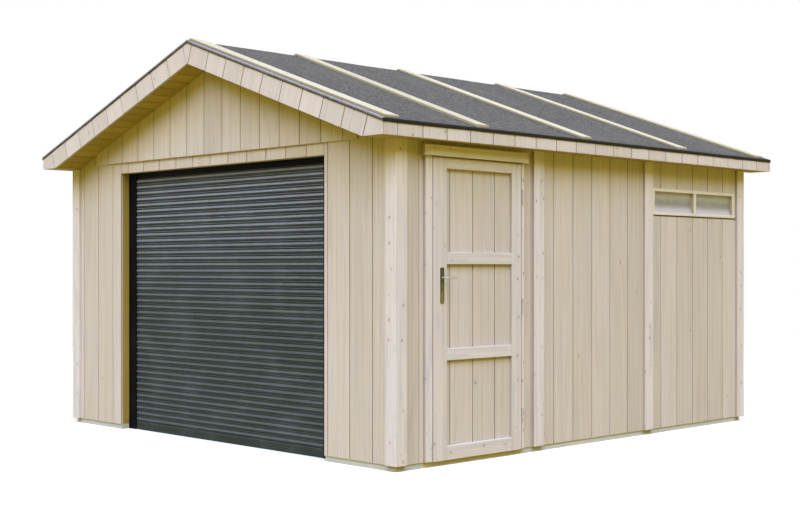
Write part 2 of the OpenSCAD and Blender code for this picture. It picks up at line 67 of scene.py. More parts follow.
# The roof's line runs from the ridge down to the eave; x is counted from the ridge.
RIDGE_Z = high("roof_deck_right").z
TAIL_X = high("roof_deck_right").x
EAVE_X = high("verge_boards_right").x
EAVE_Z = low("verge_boards_right").z
SLOPE = (RIDGE_Z - high("eave_boards").z) / TAIL_X
PITCH = math.atan(SLOPE)
PLUMB = 1 / math.cos(PITCH)
FRONT_Y = low("verge_boards_right").y
REAR_Y = high("verge_boards_right").y
FASCIA = EAVE_X - TAIL_X
CLADDING = low("front_wall_left").y - low("front_gable").y
SIDE_X = high("corner_boards_sides").x

X, Y, Z = (1, 0, 0), (0, 1, 0), (0, 0, 1)  # ways of the grain
HAIR = 0.0005  # between timbers that lie against each other
CLEAR = 0.0004  # between cladding and the roof over it
STUD_CLEAR = 0.002  # between the gables' studs and the roof over them
RIDGE_CLEAR = 0.0008  # from the ridge's middle to the roof boards on each side
GABLE_BAY = 0.55  # between the middles of two studs in a gable


def down_way(side):
    """The way down one slope of the roof."""
    return Vector((side * math.cos(PITCH), 0, -math.sin(PITCH)))


def roof_normal(side):
    """The way that one slope of the roof looks."""
    return Vector((side * math.sin(PITCH), 0, math.cos(PITCH)))


# Sizes and colours ---------------------------------------------------------------------


def metres(label, value, text):
    """Length property in metres."""
    return bpy.props.FloatProperty(name=label, description=text, default=value, unit="LENGTH")


def tone(red, green, blue):
    """Scene colour of an 8-bit display colour."""
    return tuple(((c / 255 + 0.055) / 1.055) ** 2.4 for c in (red, green, blue))


def swatch(label, red, green, blue):
    """Colour property given by its display colour."""
    return bpy.props.FloatVectorProperty(
        name=label, description=f"Colour of the {label.lower()}", default=tone(red, green, blue),
        subtype="COLOR", size=3, min=0, max=1,
    )


class GarageSizes(bpy.types.PropertyGroup):
    """Sizes of the details that dress the solids"""

    board_width: metres("Board width", 0.221, "Cover width of one cladding board")
    groove: metres("Groove", 0.0045, "Depth and half width of the V between two boards")
    gable_groove: metres("Gable groove", 1.4535, "Place of one joint in the gable's boards")
    front_groove: metres("Front groove", 1.7252, "Place of one joint in the boards beside the shutter")
    side_groove: metres("Side groove", 0.1855, "From the start of a side element to its first joint")
    corner_groove: metres("Corner groove", -1.8295, "Place of one joint between corner and side door")
    verge_groove: metres("Verge groove", 0.142, "From the eave up the slope to the first joint")
    eave_groove: metres("Eave groove", 0.1265, "From the front verge to the first joint in the fascia")
    door_groove: metres("Door groove", -1.544, "Place of one joint in the door's boards")
    gable_stop: metres("Gable stop", 0.347, "How far the outer gable boards stop short of the wall's ends")
    rafter_seat: metres("Rafter seat", 0.087, "Level stretch of the soffit over the side wall")
    roof_board: metres("Roof board", 0.12, "Cover width of a roof or soffit board")
    deck: metres("Roof board thickness", 0.02, "Thickness of the roof boards")
    soffit: metres("Soffit thickness", 0.016, "Thickness of the soffit boards")
    stud: metres("Stud", 0.045, "Width of a stud or rail")
    stud_depth: metres("Stud depth", 0.058, "Depth of a stud behind the cladding")
    ease: metres("Eased edge", 0.002, "Size of the eased edge on planed timber")
    felt: metres("Felt", 0.004, "Thickness of the roofing felt")
    window_seam: metres("Window seam", 0.010, "Open seam between the window's foot and the boards below")
    slat_pitch: metres("Slat pitch", 0.0475, "Height of one shutter slat")
    nail_head: metres("Nail head", 0.0028, "Radius of a nail head")


class GarageColours(bpy.types.PropertyGroup):
    """Colours of the finishes"""

    cladding: swatch("Cladding", 199, 188, 173)
    planks: swatch("Planks", 212, 203, 195)
    door: swatch("Door planks", 209, 200, 191)
    roof_timber: swatch("Roof timber", 171, 149, 66)
    fascia: swatch("Fascia boards", 207, 196, 184)
    bearer: swatch("Bearers", 195, 196, 184)
    threshold: swatch("Threshold", 222, 217, 190)
    felt: swatch("Felt", 68, 64, 56)
    granule: swatch("Felt granules", 111, 106, 94)
    # dark turned down edge of the felt: painted shade and a painted shadow line
    felt_edge_shade: swatch("Shaded felt edge", 38, 35, 28)
    felt_batten: swatch("Felt battens", 197, 188, 153)
    shutter: swatch("Shutter", 45, 50, 39)
    # colour of the painted highlights and reflections on the shutter, and of its fine specks
    shutter_sheen_and_dust: swatch("Shutter sheen and dust", 146, 149, 155)
    guide: swatch("Shutter guides", 9, 7, 9)
    plate: swatch("Handle plate", 80, 76, 30)
    lever: swatch("Lever", 178, 170, 152)
    steel: swatch("Zinc plated steel", 178, 170, 158)
    nail: swatch("Nail heads", 196, 187, 173)
    window: swatch("Window frame", 216, 209, 192)
    glass: swatch("Glass", 160, 155, 134)
    # colour of the painted reflection along the foot of the glass
    glass_foot: swatch("Painted reflection on the glass foot", 222, 216, 220)
    floor: swatch("Floor", 250, 246, 234)
    ground_glow: swatch("Light from the floor", 166, 145, 36)


def sizes():
    return bpy.context.scene.garage_sizes


def colours():
    return bpy.context.scene.garage_colours


# Shader building -----------------------------------------------------------------------


def add(tree, kind, inputs=None, **settings):
    """Adds a node, sets it up and links or fills its inputs."""
    node = tree.nodes.new(kind)
    for key, value in settings.items():
        setattr(node, key, value)
    for key, value in (inputs or {}).items():
        if isinstance(value, bpy.types.NodeSocket):
            tree.links.new(value, node.inputs[key])
        else:
            node.inputs[key].default_value = value
    return node


def scaled(tree, place, factors):
    return add(tree, "ShaderNodeVectorMath", {0: place, 1: factors}, operation="MULTIPLY").outputs[0]


def noise(tree, place, scale=1.0, detail=3.0, roughness=0.55):
    inputs = {"Vector": place, "Scale": scale, "Detail": detail, "Roughness": roughness}
    return add(tree, "ShaderNodeTexNoise", inputs).outputs["Fac"]


def ranged(tree, value, from_low, from_high, to_low=0.0, to_high=1.0):
    return add(
        tree, "ShaderNodeMapRange", {0: value, 1: from_low, 2: from_high, 3: to_low, 4: to_high},
        interpolation_type="SMOOTHSTEP",
    ).outputs[0]


def maths(tree, operation, first, second=0.0):
    return add(tree, "ShaderNodeMath", {0: first, 1: second}, operation=operation).outputs[0]


def times(tree, first, second):
    return maths(tree, "MULTIPLY", first, second)


def part_of(tree, place, axis):
    """One coordinate of a place or a direction."""
    return add(tree, "ShaderNodeSeparateXYZ", {0: place}).outputs[axis]


def mixed(tree, factor, first, second, blend="MIX"):
    return add(
        tree, "ShaderNodeMix", {0: factor, 6: first, 7: second}, data_type="RGBA", blend_type=blend
    ).outputs[2]


def tint(colour, red, green, blue):
    return (colour[0] * red, colour[1] * green, colour[2] * blue)


def solid(colour, factor=1.0):
    return (*tint(colour, factor, factor, factor), 1.0)


def washed(tree, base, *washes):
    """Lays colours over a base. Each wash is a field, the two values between which it comes in, the
    most of it and its colour."""
    for field, start, end, most, colour in washes:
        base = mixed(tree, ranged(tree, field, start, end, 0.0, most), base, colour)
    return base


def marked(tree, name, output="Fac"):
    return add(tree, "ShaderNodeAttribute", attribute_name=name).outputs[output]


def object_place(tree):
    return add(tree, "ShaderNodeTexCoord").outputs["Object"]


def finish_material(name, roughness, metallic=0.0, specular=0.5):
    """Material with one Principled shader: returns it, its tree and the shader."""
    material = bpy.data.materials.new(name)
    material.use_nodes = True
    tree = material.node_tree
    shader = tree.nodes["Principled BSDF"]
    shader.inputs["Roughness"].default_value = roughness
    shader.inputs["Metallic"].default_value = metallic
    shader.inputs["Specular IOR Level"].default_value = specular
    return material, tree, shader


def surface(tree, shader, base, height=None, strength=0.0, distance=0.0, roughness=None):
    """Links the colour of a shader and, where given, its relief and its roughness."""
    tree.links.new(base, shader.inputs["Base Color"])
    if roughness is not None:
        tree.links.new(roughness, shader.inputs["Roughness"])
    if height is not None:
        inputs = {"Height": height, "Strength": strength, "Distance": distance}
        out = add(tree, "ShaderNodeBump", inputs)
        tree.links.new(out.outputs[0], shader.inputs["Normal"])


# Materials -----------------------------------------------------------------------------


def knots_of(tree, place, per_metre, size, share):
    """Dark heart and soft surround of the knots that lie scattered over a board's face."""
    across = times(tree, part_of(tree, place, 0), per_metre)
    along = times(tree, part_of(tree, place, 2), per_metre * 0.62)
    cells = add(tree, "ShaderNodeTexVoronoi", {
        "Vector": add(tree, "ShaderNodeCombineXYZ", {0: across, 1: along}).outputs[0], "Scale": 1.0,
    }, voronoi_dimensions="2D").outputs
    chance = add(tree, "ShaderNodeSeparateColor", {0: cells["Color"]}).outputs
    chosen = ranged(tree, chance[0], 1.0 - share, 1.001 - share)
    reach = ranged(tree, chance[1], 0.0, 1.0, 0.45 * size * per_metre, size * per_metre)
    far = maths(tree, "DIVIDE", cells["Distance"], reach)
    heart = times(tree, ranged(tree, far, 1.0, 0.62), chosen)
    halo = times(tree, ranged(tree, far, 4.5, 1.0), chosen)
    return heart, halo


def wood(name, colour, knots=(9.0, 0.009, 0.25), knot_tint=(0.34, 0.27, 0.22), rings=0.10, streak=0.07,
         greying=0.0, spread=0.05, roughness=0.8, rim=0.0):
    """Softwood whose rings, fibres, knots and streaks follow each board's own directions, kept in the
    mesh as its grain attribute. The tone attribute sets one board apart from the next, and the rim
    attribute marks the sides and ends, where painted shade darkens the board. A seated board's grain
    keeps its depth, and the faces of the V between two boards are the ones a little way in."""
    material, tree, shader = finish_material(name, roughness, specular=0.25)
    place = marked(tree, "grain", "Vector")
    heart, halo = knots_of(tree, place, *knots)

    # rings: level lines of a drawn-out field that swells round the knots
    swell = noise(tree, scaled(tree, place, (5.0, 5.0, 0.42)), detail=1.5, roughness=0.4)
    field = maths(tree, "ADD", times(tree, swell, 52.0), times(tree, part_of(tree, place, 0), 95.0))
    field = maths(tree, "ADD", field, times(tree, halo, 9.0))
    ring = ranged(tree, maths(tree, "SINE", field), 0.1, 1.0)
    mellow = noise(tree, scaled(tree, place, (9.0, 9.0, 0.6)), detail=2.0)
    ring = times(tree, ring, ranged(tree, mellow, 0.35, 0.65, 0.25, 1.0))

    fibres = noise(tree, scaled(tree, place, (310.0, 310.0, 6.0)), detail=4.0, roughness=0.6)
    bands = noise(tree, scaled(tree, place, (120.0, 120.0, 1.5)), detail=2.0)
    streaks = noise(tree, scaled(tree, place, (42.0, 42.0, 0.7)), detail=3.0)
    patches = noise(tree, scaled(tree, place, (4.0, 4.0, 1.2)), detail=2.0)
    warmth = noise(tree, scaled(tree, place, (13.0, 13.0, 0.9)), detail=2.0)
    wear_and_sheen = noise(tree, scaled(tree, place, (26.0, 26.0, 2.2)), detail=4.0)

    late, grey = tint(colour, 0.62, 0.55, 0.47), sum(colour) / 3
    base = mixed(tree, ranged(tree, warmth, 0.3, 0.7), solid(tint(colour, 1.02, 1, 0.965)),
                 solid(tint(colour, 0.985, 1, 1.035)))
    base = mixed(tree, times(tree, ring, rings), base, solid(late))
    base = washed(
        tree, base,
        (fibres, 0.48, 0.75, 0.20, solid(late)),
        (bands, 0.50, 0.72, streak * 1.6, solid(late, 1.05)),
        (streaks, 0.45, 0.75, streak * 2.5, solid(colour, 0.66)),
        (streaks, 0.52, 0.28, streak, solid(colour, 1.22)),
        (patches, 0.42, 0.72, 0.09, solid(late, 1.15)),
        (wear_and_sheen, 0.54, 0.70, greying, solid((grey * 0.68, grey * 0.69, grey * 0.72))),
    )
    base = mixed(tree, times(tree, halo, 0.10), base, solid(late))
    base = mixed(tree, times(tree, heart, 0.82), base, solid(tint(colour, *knot_tint)))

    shade = marked(tree, "tone")
    base = mixed(tree, 1.0, base, add(tree, "ShaderNodeCombineColor", {
        k: ranged(tree, shade, 0.0, 1.0, 1.0 - spread * darker, 1.0 + spread * paler)
        for k, (darker, paler) in enumerate(((1.0, 0.8), (1.05, 0.8), (1.35, 1.0)))
    }).outputs[0], "MULTIPLY")
    depth = part_of(tree, place, 1)
    joint = times(tree, ranged(tree, depth, 0.0003, 0.0030), ranged(tree, depth, 0.0056, 0.0046))
    base = mixed(tree, joint, base, solid(tint(colour, 0.36, 0.31, 0.24)))
    # painted shade on the sides and ends that the rim attribute marks
    if rim:
        sawn = solid(tint(colour, 0.60, 0.54, 0.46))
        base = mixed(tree, times(tree, marked(tree, "rim"), rim), base, sawn)
    surface(tree, shader, base, maths(tree, "ADD", fibres, times(tree, ring, 0.5)), 0.30, 0.0007)
    return material


def made(name, maker):
    """The material of that name, made on first use."""
    return bpy.data.materials.get(name) or maker(name)


def cladding_wood():
    return made("Cladding boards", lambda name: wood(
        name, colours().cladding, knots=(6.0, 0.008, 0.05), knot_tint=(0.50, 0.42, 0.36), rings=0.17,
        streak=0.14, spread=0.055))


def plank_wood():
    return made("Planed planks", lambda name: wood(
        name, colours().planks, knots=(13.0, 0.0085, 0.42), knot_tint=(0.42, 0.38, 0.37), rings=0.13,
        streak=0.12, greying=0.40, spread=0.03, rim=0.9))


def roof_wood():
    return made("Sawn roof timber", lambda name: wood(
        name, colours().roof_timber, knots=(8.0, 0.011, 0.35), rings=0.22, streak=0.12, spread=0.10,
        roughness=0.88))


def felt_material(colour, granule, edge):
    """Mineral surfaced felt: pale granules over a dark sheet, with soft patches of wear, black where the
    tone attribute marks the turned down edge, painted shade along the eave and a painted shadow line
    along the verges' lower rim, and pale where the rim attribute marks the bend over the verge, a
    painted highlight."""
    material, tree, shader = finish_material("Felt", 0.95, specular=0.15)
    where = object_place(tree)
    grains = noise(tree, where, 420.0, 2.0, 0.7)
    fine = noise(tree, where, 130.0, 2.0, 0.7)
    clusters = noise(tree, where, 42.0, 2.0, 0.6)
    mottle = noise(tree, scaled(tree, where, (9.0, 14.0, 9.0)), 1.0, 3.0, 0.6)
    patch = noise(tree, scaled(tree, where, (1.2, 2.4, 1.2)), 1.0, 3.0, 0.55)
    base = mixed(tree, ranged(tree, clusters, 0.40, 0.62), solid(colour, 0.66), solid(granule, 0.82))
    base = washed(
        tree, base,
        (fine, 0.48, 0.64, 0.6, solid(granule, 1.12)),
        (fine, 0.50, 0.36, 0.5, solid(colour, 0.45)),
        (grains, 0.50, 0.68, 0.5, solid(granule, 1.3)),
        (mottle, 0.45, 0.75, 0.28, solid(colour, 0.72)),
        (patch, 0.40, 0.75, 0.25, solid(granule, 0.95)),
    )
    # pale on the bend over the verge, where the rim attribute marks it: a painted highlight
    base = mixed(tree, marked(tree, "rim"), base, solid((0.36, 0.33, 0.32)))
    # black on the turned down edge: painted shade, and a painted shadow line along the verges' lower rim
    base = mixed(tree, marked(tree, "tone"), base, solid(edge))
    surface(tree, shader, base, maths(tree, "ADD", grains, fine), 0.5, 0.0012)
    return material


def metal_material(name, colour, roughness, grain, metallic=1.0):
    """Metal with a fine drawn texture and a faint change of gloss."""
    material, tree, shader = finish_material(name, roughness, metallic)
    where = object_place(tree)
    drawn = noise(tree, scaled(tree, where, grain), 1.0, 4.0, 0.6)
    dull = noise(tree, where, 35.0, 3.0)
    base = mixed(tree, ranged(tree, drawn, 0.35, 0.7), solid(colour, 0.86), solid(colour, 1.08))
    base = washed(tree, base, (dull, 0.5, 0.75, 0.4, solid(colour, 0.68)))
    gloss = ranged(tree, dull, 0.3, 0.75, roughness * 0.85, roughness * 1.35)
    surface(tree, shader, base, drawn, 0.12, 0.0003, gloss)
    return material


def plate_material(name, colour):
    """Bronze that is darker at the head of the plate and brighter towards its foot, a painted reflection.
    """
    material, tree, shader = finish_material(name, 0.45, 0.2, 0.25)
    where = object_place(tree)
    height = part_of(tree, where, 2)
    foot, head = low("handle_plates").z, high("handle_plates").z
    patina = noise(tree, scaled(tree, where, (60.0, 60.0, 24.0)), 1.0, 4.0, 0.65)
    drawn = noise(tree, scaled(tree, where, (90.0, 90.0, 500.0)), 1.0, 3.0, 0.6)
    # darker at the head and brighter towards the foot: a painted reflection
    wear_and_sheen = ranged(tree, height, head - 0.06, foot + 0.04)
    base = mixed(tree, wear_and_sheen, solid(colour, 0.80), solid(colour, 2.1))
    base = washed(tree, base, (patina, 0.42, 0.62, 0.5, solid(colour, 0.75)))
    surface(tree, shader, base, drawn, 0.12, 0.0003, ranged(tree, patina, 0.3, 0.7, 0.36, 0.55))
    return material


def coating_material(name, colour, sheen_and_dust, most=1.0, specular=0.07):
    """Satin coating with scuffs, a cloudy painted reflection and painted highlights on the faces that look
    up, weaker lower down.
    """
    material, tree, shader = finish_material(name, 0.42, specular=specular)
    where = object_place(tree)
    height = part_of(tree, where, 2)
    up = part_of(tree, add(tree, "ShaderNodeNewGeometry").outputs["Normal"], 2)
    cloud = noise(tree, scaled(tree, where, (2.6, 2.6, 3.4)), 1.0, 4.0, 0.6)
    highlight_breakup = noise(tree, scaled(tree, where, (14.0, 60.0, 60.0)), 1.0, 4.0, 0.65)
    spots = noise(tree, where, 260.0, 2.0, 0.6)
    # painted highlights on the faces that look up, stronger higher up
    higher = ranged(tree, height, 0.8, 2.1, 0.22 * most, 0.86 * most)
    painted_highlight = times(tree, ranged(tree, up, 0.08, 0.28), higher)
    painted_highlight = times(tree, painted_highlight, ranged(tree, highlight_breakup, 0.2, 0.75, 0.65, 1.0))
    # cloudy painted reflection, and fine pale specks
    base = washed(tree, solid(colour), (cloud, 0.42, 0.72, 0.10 * most, solid(sheen_and_dust)),
                  (spots, 0.60, 0.80, 0.12, solid(sheen_and_dust, 0.6)))
    base = mixed(tree, painted_highlight, base, solid(sheen_and_dust))
    surface(tree, shader, base, spots, 0.10, 0.0003, ranged(tree, cloud, 0.3, 0.7, 0.36, 0.52))
    return material


def glass_material(colour, foot_colour):
    """Pane dulled by a film, pale along its foot, a painted reflection, and lighter and greener under its
    head, painted light.
    """
    material, tree, shader = finish_material("Window glass", 0.12)
    shader.inputs["Transmission Weight"].default_value = 0.3
    shader.inputs["IOR"].default_value = 1.5
    where = object_place(tree)
    film = noise(tree, scaled(tree, where, (9.0, 9.0, 22.0)), 1.0, 4.0, 0.6)
    ragged = maths(tree, "ADD", part_of(tree, where, 2), times(tree, film, 0.03))
    foot, top = low("window_glass").z, high("window_glass").z
    base = mixed(tree, ranged(tree, film, 0.35, 0.7), solid(colour, 0.93), solid(colour, 1.07))
    # pale along the foot, a painted reflection, and lighter and greener under the head, painted light
    base = washed(tree, base, (ragged, foot + 0.085, foot + 0.025, 1.0, solid(foot_colour)),
                  (ragged, top - 0.07, top + 0.01, 1.0, solid(tint(colour, 1.55, 1.55, 1.2))))
    surface(tree, shader, base, roughness=ranged(tree, film, 0.3, 0.8, 0.08, 0.2))
    return material


def cover(node, material):
    """Gives a solid that stays as it is its material."""
    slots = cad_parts[node].data.materials
    slots.clear()
    slots.append(material)


# Mesh making ---------------------------------------------------------------------------


def linked(name, data):
    """New object in the scene."""
    holder = bpy.data.objects.new(name, data)
    bpy.context.scene.collection.objects.link(holder)
    return holder


class Stack:
    """Gathers solids in one mesh, each with its own grain directions and tone"""

    def __init__(self, seed):
        self.points, self.faces, self.smooth = [], [], []
        self.grain, self.tones, self.painted_light_marks = [], [], []
        self.chance = random.Random(seed)

    def take(self, bm, matrix=Matrix(), grain=None, seated=False, smooth=False):
        """Adds a mesh in local coordinates, placed by the matrix. A seated mesh keeps its depth, so
        that the material finds the V between two boards."""
        grain = grain or (lambda p: (p.x, p.y, p.z))
        shift = [self.chance.uniform(1, 30) for _ in range(3)]
        own = self.chance.random()
        if seated:
            shift[1] = 0.0
        layer, rim = bm.verts.layers.float.get("board"), bm.verts.layers.float.get("rim")
        start = len(self.points)
        bm.verts.index_update()
        for vert in bm.verts:
            self.points.append(matrix @ vert.co)
            g = grain(vert.co)
            board = vert[layer] if layer else 0.0
            self.grain.append((g[0] + shift[0] + board * 17, g[1] + shift[1], g[2] + shift[2] + board * 23))
            self.tones.append(board if layer else own)
            self.painted_light_marks.append(vert[rim] if rim else 0.0)
        turned = matrix.determinant() < 0
        for face in bm.faces:
            ring = [start + v.index for v in face.verts]
            self.faces.append(ring[::-1] if turned else ring)
            self.smooth.append(smooth)
        bm.free()

    def piece(self, name, material, body="building", slot=None, replaces=()):
        """Makes the object and lets it ride on its body."""
        mesh = bpy.data.meshes.new(name)
        mesh.from_pydata([tuple(p) for p in self.points], [], self.faces)
        flat = [c for g in self.grain for c in g]
        mesh.attributes.new("grain", "FLOAT_VECTOR", "POINT").data.foreach_set("vector", flat)
        mesh.attributes.new("tone", "FLOAT", "POINT").data.foreach_set("value", self.tones)
        # the rim attribute carries painted shade on plank sides and a painted highlight on the felt's bend
        mesh.attributes.new("rim", "FLOAT", "POINT").data.foreach_set("value", self.painted_light_marks)
        mesh.polygons.foreach_set("use_smooth", self.smooth)
        mesh.materials.append(material)
        mesh.validate()
        holder = linked(name, mesh)
        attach(holder, body)
        if replaces:
            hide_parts(*replaces)
        return holder


def frame_of(*columns, origin):
    """Matrix from its three directions and its origin."""
    matrix = Matrix.Identity(4)
    for i, column in enumerate(columns):
        for k in range(3):
            matrix[k][i] = column[k]
    matrix.translation = origin
    return matrix


def into(matrix, planes):
    """Planes of the building, each a point and a normal, in a matrix's own coordinates."""
    local = matrix.inverted()
    return [(local @ Vector(point), local.to_3x3() @ Vector(normal)) for point, normal in planes]


def trimmed(bm, planes):
    """Cuts a mesh of closed solids by planes, each a point and the normal of what goes away."""
    for point, normal in planes:
        cut = bmesh.ops.bisect_plane(
            bm, geom=bm.verts[:] + bm.edges[:] + bm.faces[:], dist=1e-6, plane_co=point, plane_no=normal,
            clear_outer=True,
        )
        rim = [e for e in cut["geom_cut"] if isinstance(e, bmesh.types.BMEdge) and e.is_boundary]
        if rim:
            bmesh.ops.edgenet_fill(bm, edges=rim)
    bmesh.ops.recalc_face_normals(bm, faces=bm.faces)
    return bm


def ease_edges(bm, edges, ease, segments=1):
    bmesh.ops.bevel(bm, geom=edges, offset=ease or sizes().ease, segments=segments, affect="EDGES",
                    clamp_overlap=True)


def plank(stack, lowest, highest, along, matrix=Matrix(), ease=None, planes=()):
    """One length of timber with eased edges."""
    bm = bmesh.new()
    bmesh.ops.create_cube(bm, size=1.0)
    for vert in bm.verts:
        vert.co = [lowest[k] + (vert.co[k] + 0.5) * (highest[k] - lowest[k]) for k in range(3)]
    trimmed(bm, planes)
    ease_edges(bm, bm.edges[:], ease)
    order = {"x": (1, 2, 0), "y": (0, 2, 1), "z": (0, 1, 2)}[along]
    stack.take(bm, matrix, lambda p: (p[order[0]], p[order[1]], p[order[2]]))


def loose_solids(node):
    """Clean copy of each loose solid of a node of the frame."""
    whole = bmesh.new()
    whole.from_mesh(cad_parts[node].data)
    bmesh.ops.remove_doubles(whole, verts=whole.verts, dist=2e-5)
    bmesh.ops.dissolve_limit(whole, angle_limit=math.radians(0.5), verts=whole.verts, edges=whole.edges)
    whole.verts.index_update()
    left = set(whole.verts)
    while left:
        group, queue = set(), [next(iter(left))]
        while queue:
            vert = queue.pop()
            if vert not in group:
                group.add(vert)
                queue.extend(edge.other_vert(vert) for edge in vert.link_edges)
        left -= group
        kept = {vert.index for vert in group}
        part = whole.copy()
        bmesh.ops.delete(part, geom=[v for i, v in enumerate(part.verts) if i not in kept], context="VERTS")
        yield part
    whole.free()


def eased(stack, node, along, thick=Z, ease=None, segments=1, sawn=True):
    """Copies a node's solids with their sharp edges eased. Along is the way of the grain, thick the way
    through the timber and sawn says whether its sides and ends get painted shade; each may be a
    function that tells it for one solid."""
    for bm in sorted(loose_solids(node), key=lambda part: tuple(round(c, 3) for c in middle_of(part))):
        direction = Vector(along(bm) if callable(along) else along).normalized()
        depth = Vector(thick(bm) if callable(thick) else thick)
        depth = (depth - direction * depth.dot(direction)).normalized()
        across = depth.cross(direction)
        sharp = [e for e in bm.edges if len(e.link_faces) == 2 and e.calc_face_angle(0) > math.radians(30)]
        ease_edges(bm, sharp, ease, segments)
        if sawn(bm) if callable(sawn) else sawn:
            mark_shaded_sides(bm, depth)
        stack.take(bm, grain=lambda p: (p.dot(across), p.dot(depth), p.dot(direction)))


def eased_piece(seed, name, material, slot, parts, body="building", **settings):
    """Piece that copies nodes with their edges eased. Each part is a node, the way of its grain and,
    where given, the way through it."""
    stack = Stack(seed)
    for part in parts:
        eased(stack, *part, **settings)
    stack.piece(name, material, body, slot, [part[0] for part in parts])


def mark_shaded_sides(bm, depth):
    """Marks the sides and ends of a board for painted shade, but not what looks up."""
    rim = bm.verts.layers.float.new("rim")
    bm.normal_update()
    for face in bm.faces:
        if abs(face.normal.dot(depth)) < 0.3 and face.normal.z < 0.5:
            for vert in face.verts:
                vert[rim] = 1.0


def middle_of(bm):
    return sum((v.co for v in bm.verts), Vector()) / len(bm.verts)


def span_of(bm):
    """Lowest and highest corner of a solid, and the axis along which it is thinnest."""
    lowest, highest = (Vector(map(pick, *(v.co for v in bm.verts))) for pick in (min, max))
    return lowest, highest, min(range(3), key=lambda k: highest[k] - lowest[k])


def thinnest(bm):
    """The way through the thinnest part of a solid."""
    return Vector([float(k == span_of(bm)[2]) for k in range(3)])


def down_slope(bm):
    """The way down the roof on the side of the ridge where a solid lies."""
    return down_way(1 if middle_of(bm).x > 0 else -1)


# Geometry node trees -------------------------------------------------------------------


def new_tree(name, inputs):
    """Empty node tree with a geometry input and output and the named inputs."""
    tree = bpy.data.node_groups.new(name, "GeometryNodeTree")
    tree.interface.new_socket("Geometry", in_out="INPUT", socket_type="NodeSocketGeometry")
    for label, kind, value in inputs:
        socket = tree.interface.new_socket(label, in_out="INPUT", socket_type=kind)
        if value is not None:
            socket.default_value = value
    tree.interface.new_socket("Geometry", in_out="OUTPUT", socket_type="NodeSocketGeometry")
    return tree, tree.nodes.new("NodeGroupInput"), tree.nodes.new("NodeGroupOutput")


def close_tree(tree, given, result, instances):
    """Ends a tree in real geometry with its material."""
    whole = add(tree, "GeometryNodeRealizeInstances", {0: instances})
    final = add(tree, "GeometryNodeSetMaterial", {
        0: whole.outputs[0], "Material": given.outputs["Material"]})
    tree.links.new(final.outputs[0], result.inputs[0])
    return tree


def board_run_tree(name):
    """Lays boards side by side along +X, the first and last cut to the run's ends."""
    tree, given, result = new_tree(name, [
        ("Boards", "NodeSocketInt", 4), ("Cover width", "NodeSocketFloat", 0.221),
        ("First joint", "NodeSocketFloat", 0.1), ("Run length", "NodeSocketFloat", 1.0),
        ("Gap", "NodeSocketFloat", 0.0012), ("Seed", "NodeSocketInt", 1),
        ("Material", "NodeSocketMaterial", None),
    ])
    index = add(tree, "GeometryNodeInputIndex").outputs[0]
    left = times(tree, maths(tree, "SUBTRACT", index, 1.0), given.outputs["Cover width"])
    left = maths(tree, "ADD", left, given.outputs["First joint"])
    right = maths(tree, "ADD", left, given.outputs["Cover width"])
    right = maths(tree, "MINIMUM", right, given.outputs["Run length"])
    left = maths(tree, "MAXIMUM", left, 0.0)
    middle = times(tree, maths(tree, "ADD", left, right), 0.5)
    width = maths(tree, "SUBTRACT", maths(tree, "SUBTRACT", right, left), given.outputs["Gap"])
    line = add(tree, "GeometryNodeMeshLine", {"Count": given.outputs["Boards"], "Offset": (0.0, 0.0, 0.0)})
    spots = add(tree, "GeometryNodeSetPosition", {
        "Geometry": line.outputs[0], "Position": add(tree, "ShaderNodeCombineXYZ", {0: middle}).outputs[0]})
    stretch = add(tree, "ShaderNodeCombineXYZ", {0: width, 1: 1.0, 2: 1.0}).outputs[0]
    placed = add(tree, "GeometryNodeInstanceOnPoints", {
        "Points": spots.outputs[0], "Instance": given.outputs["Geometry"], "Scale": stretch})
    chance = add(tree, "FunctionNodeRandomValue", {"ID": index, "Seed": given.outputs["Seed"]},
                 data_type="FLOAT")
    named = add(tree, "GeometryNodeStoreNamedAttribute", {
        "Geometry": placed.outputs[0], "Name": "board", "Value": chance.outputs[1]},
        data_type="FLOAT", domain="INSTANCE")
    return close_tree(tree, given, result, named.outputs[0])


def slat_stack_tree(name):
    """Stacks slats one above the other."""
    tree, given, result = new_tree(name, [
        ("Slats", "NodeSocketInt", 40), ("Pitch", "NodeSocketFloat", 0.0475),
        ("Foot", "NodeSocketFloat", 0.05), ("Material", "NodeSocketMaterial", None),
    ])
    step = add(tree, "ShaderNodeCombineXYZ", {2: given.outputs["Pitch"]}).outputs[0]
    foot = add(tree, "ShaderNodeCombineXYZ", {2: given.outputs["Foot"]}).outputs[0]
    line = add(tree, "GeometryNodeMeshLine", {
        "Count": given.outputs["Slats"], "Start Location": foot, "Offset": step})
    placed = add(tree, "GeometryNodeInstanceOnPoints", {
        "Points": line.outputs[0], "Instance": given.outputs["Geometry"]})
    return close_tree(tree, given, result, placed.outputs[0])


def head_tree(name):
    """Puts a flat head on each point, turned to the point's facing attribute."""
    tree, given, result = new_tree(name, [
        ("Radius", "NodeSocketFloat", 0.0028), ("Rise", "NodeSocketFloat", 0.0012),
        ("Sides", "NodeSocketInt", 10), ("Material", "NodeSocketMaterial", None),
    ])
    facing = add(tree, "GeometryNodeInputNamedAttribute", {"Name": "facing"}, data_type="FLOAT_VECTOR")
    turn = add(tree, "FunctionNodeAlignRotationToVector", {"Vector": facing.outputs[0]}, axis="Z")
    head = add(tree, "GeometryNodeMeshCylinder", {
        "Vertices": given.outputs["Sides"], "Radius": given.outputs["Radius"],
        "Depth": given.outputs["Rise"]})
    spots = add(tree, "GeometryNodeMeshToPoints", {0: given.outputs["Geometry"]})
    placed = add(tree, "GeometryNodeInstanceOnPoints", {
        "Points": spots.outputs[0], "Instance": head.outputs["Mesh"], "Rotation": turn.outputs[0]})
    return close_tree(tree, given, result, placed.outputs[0])


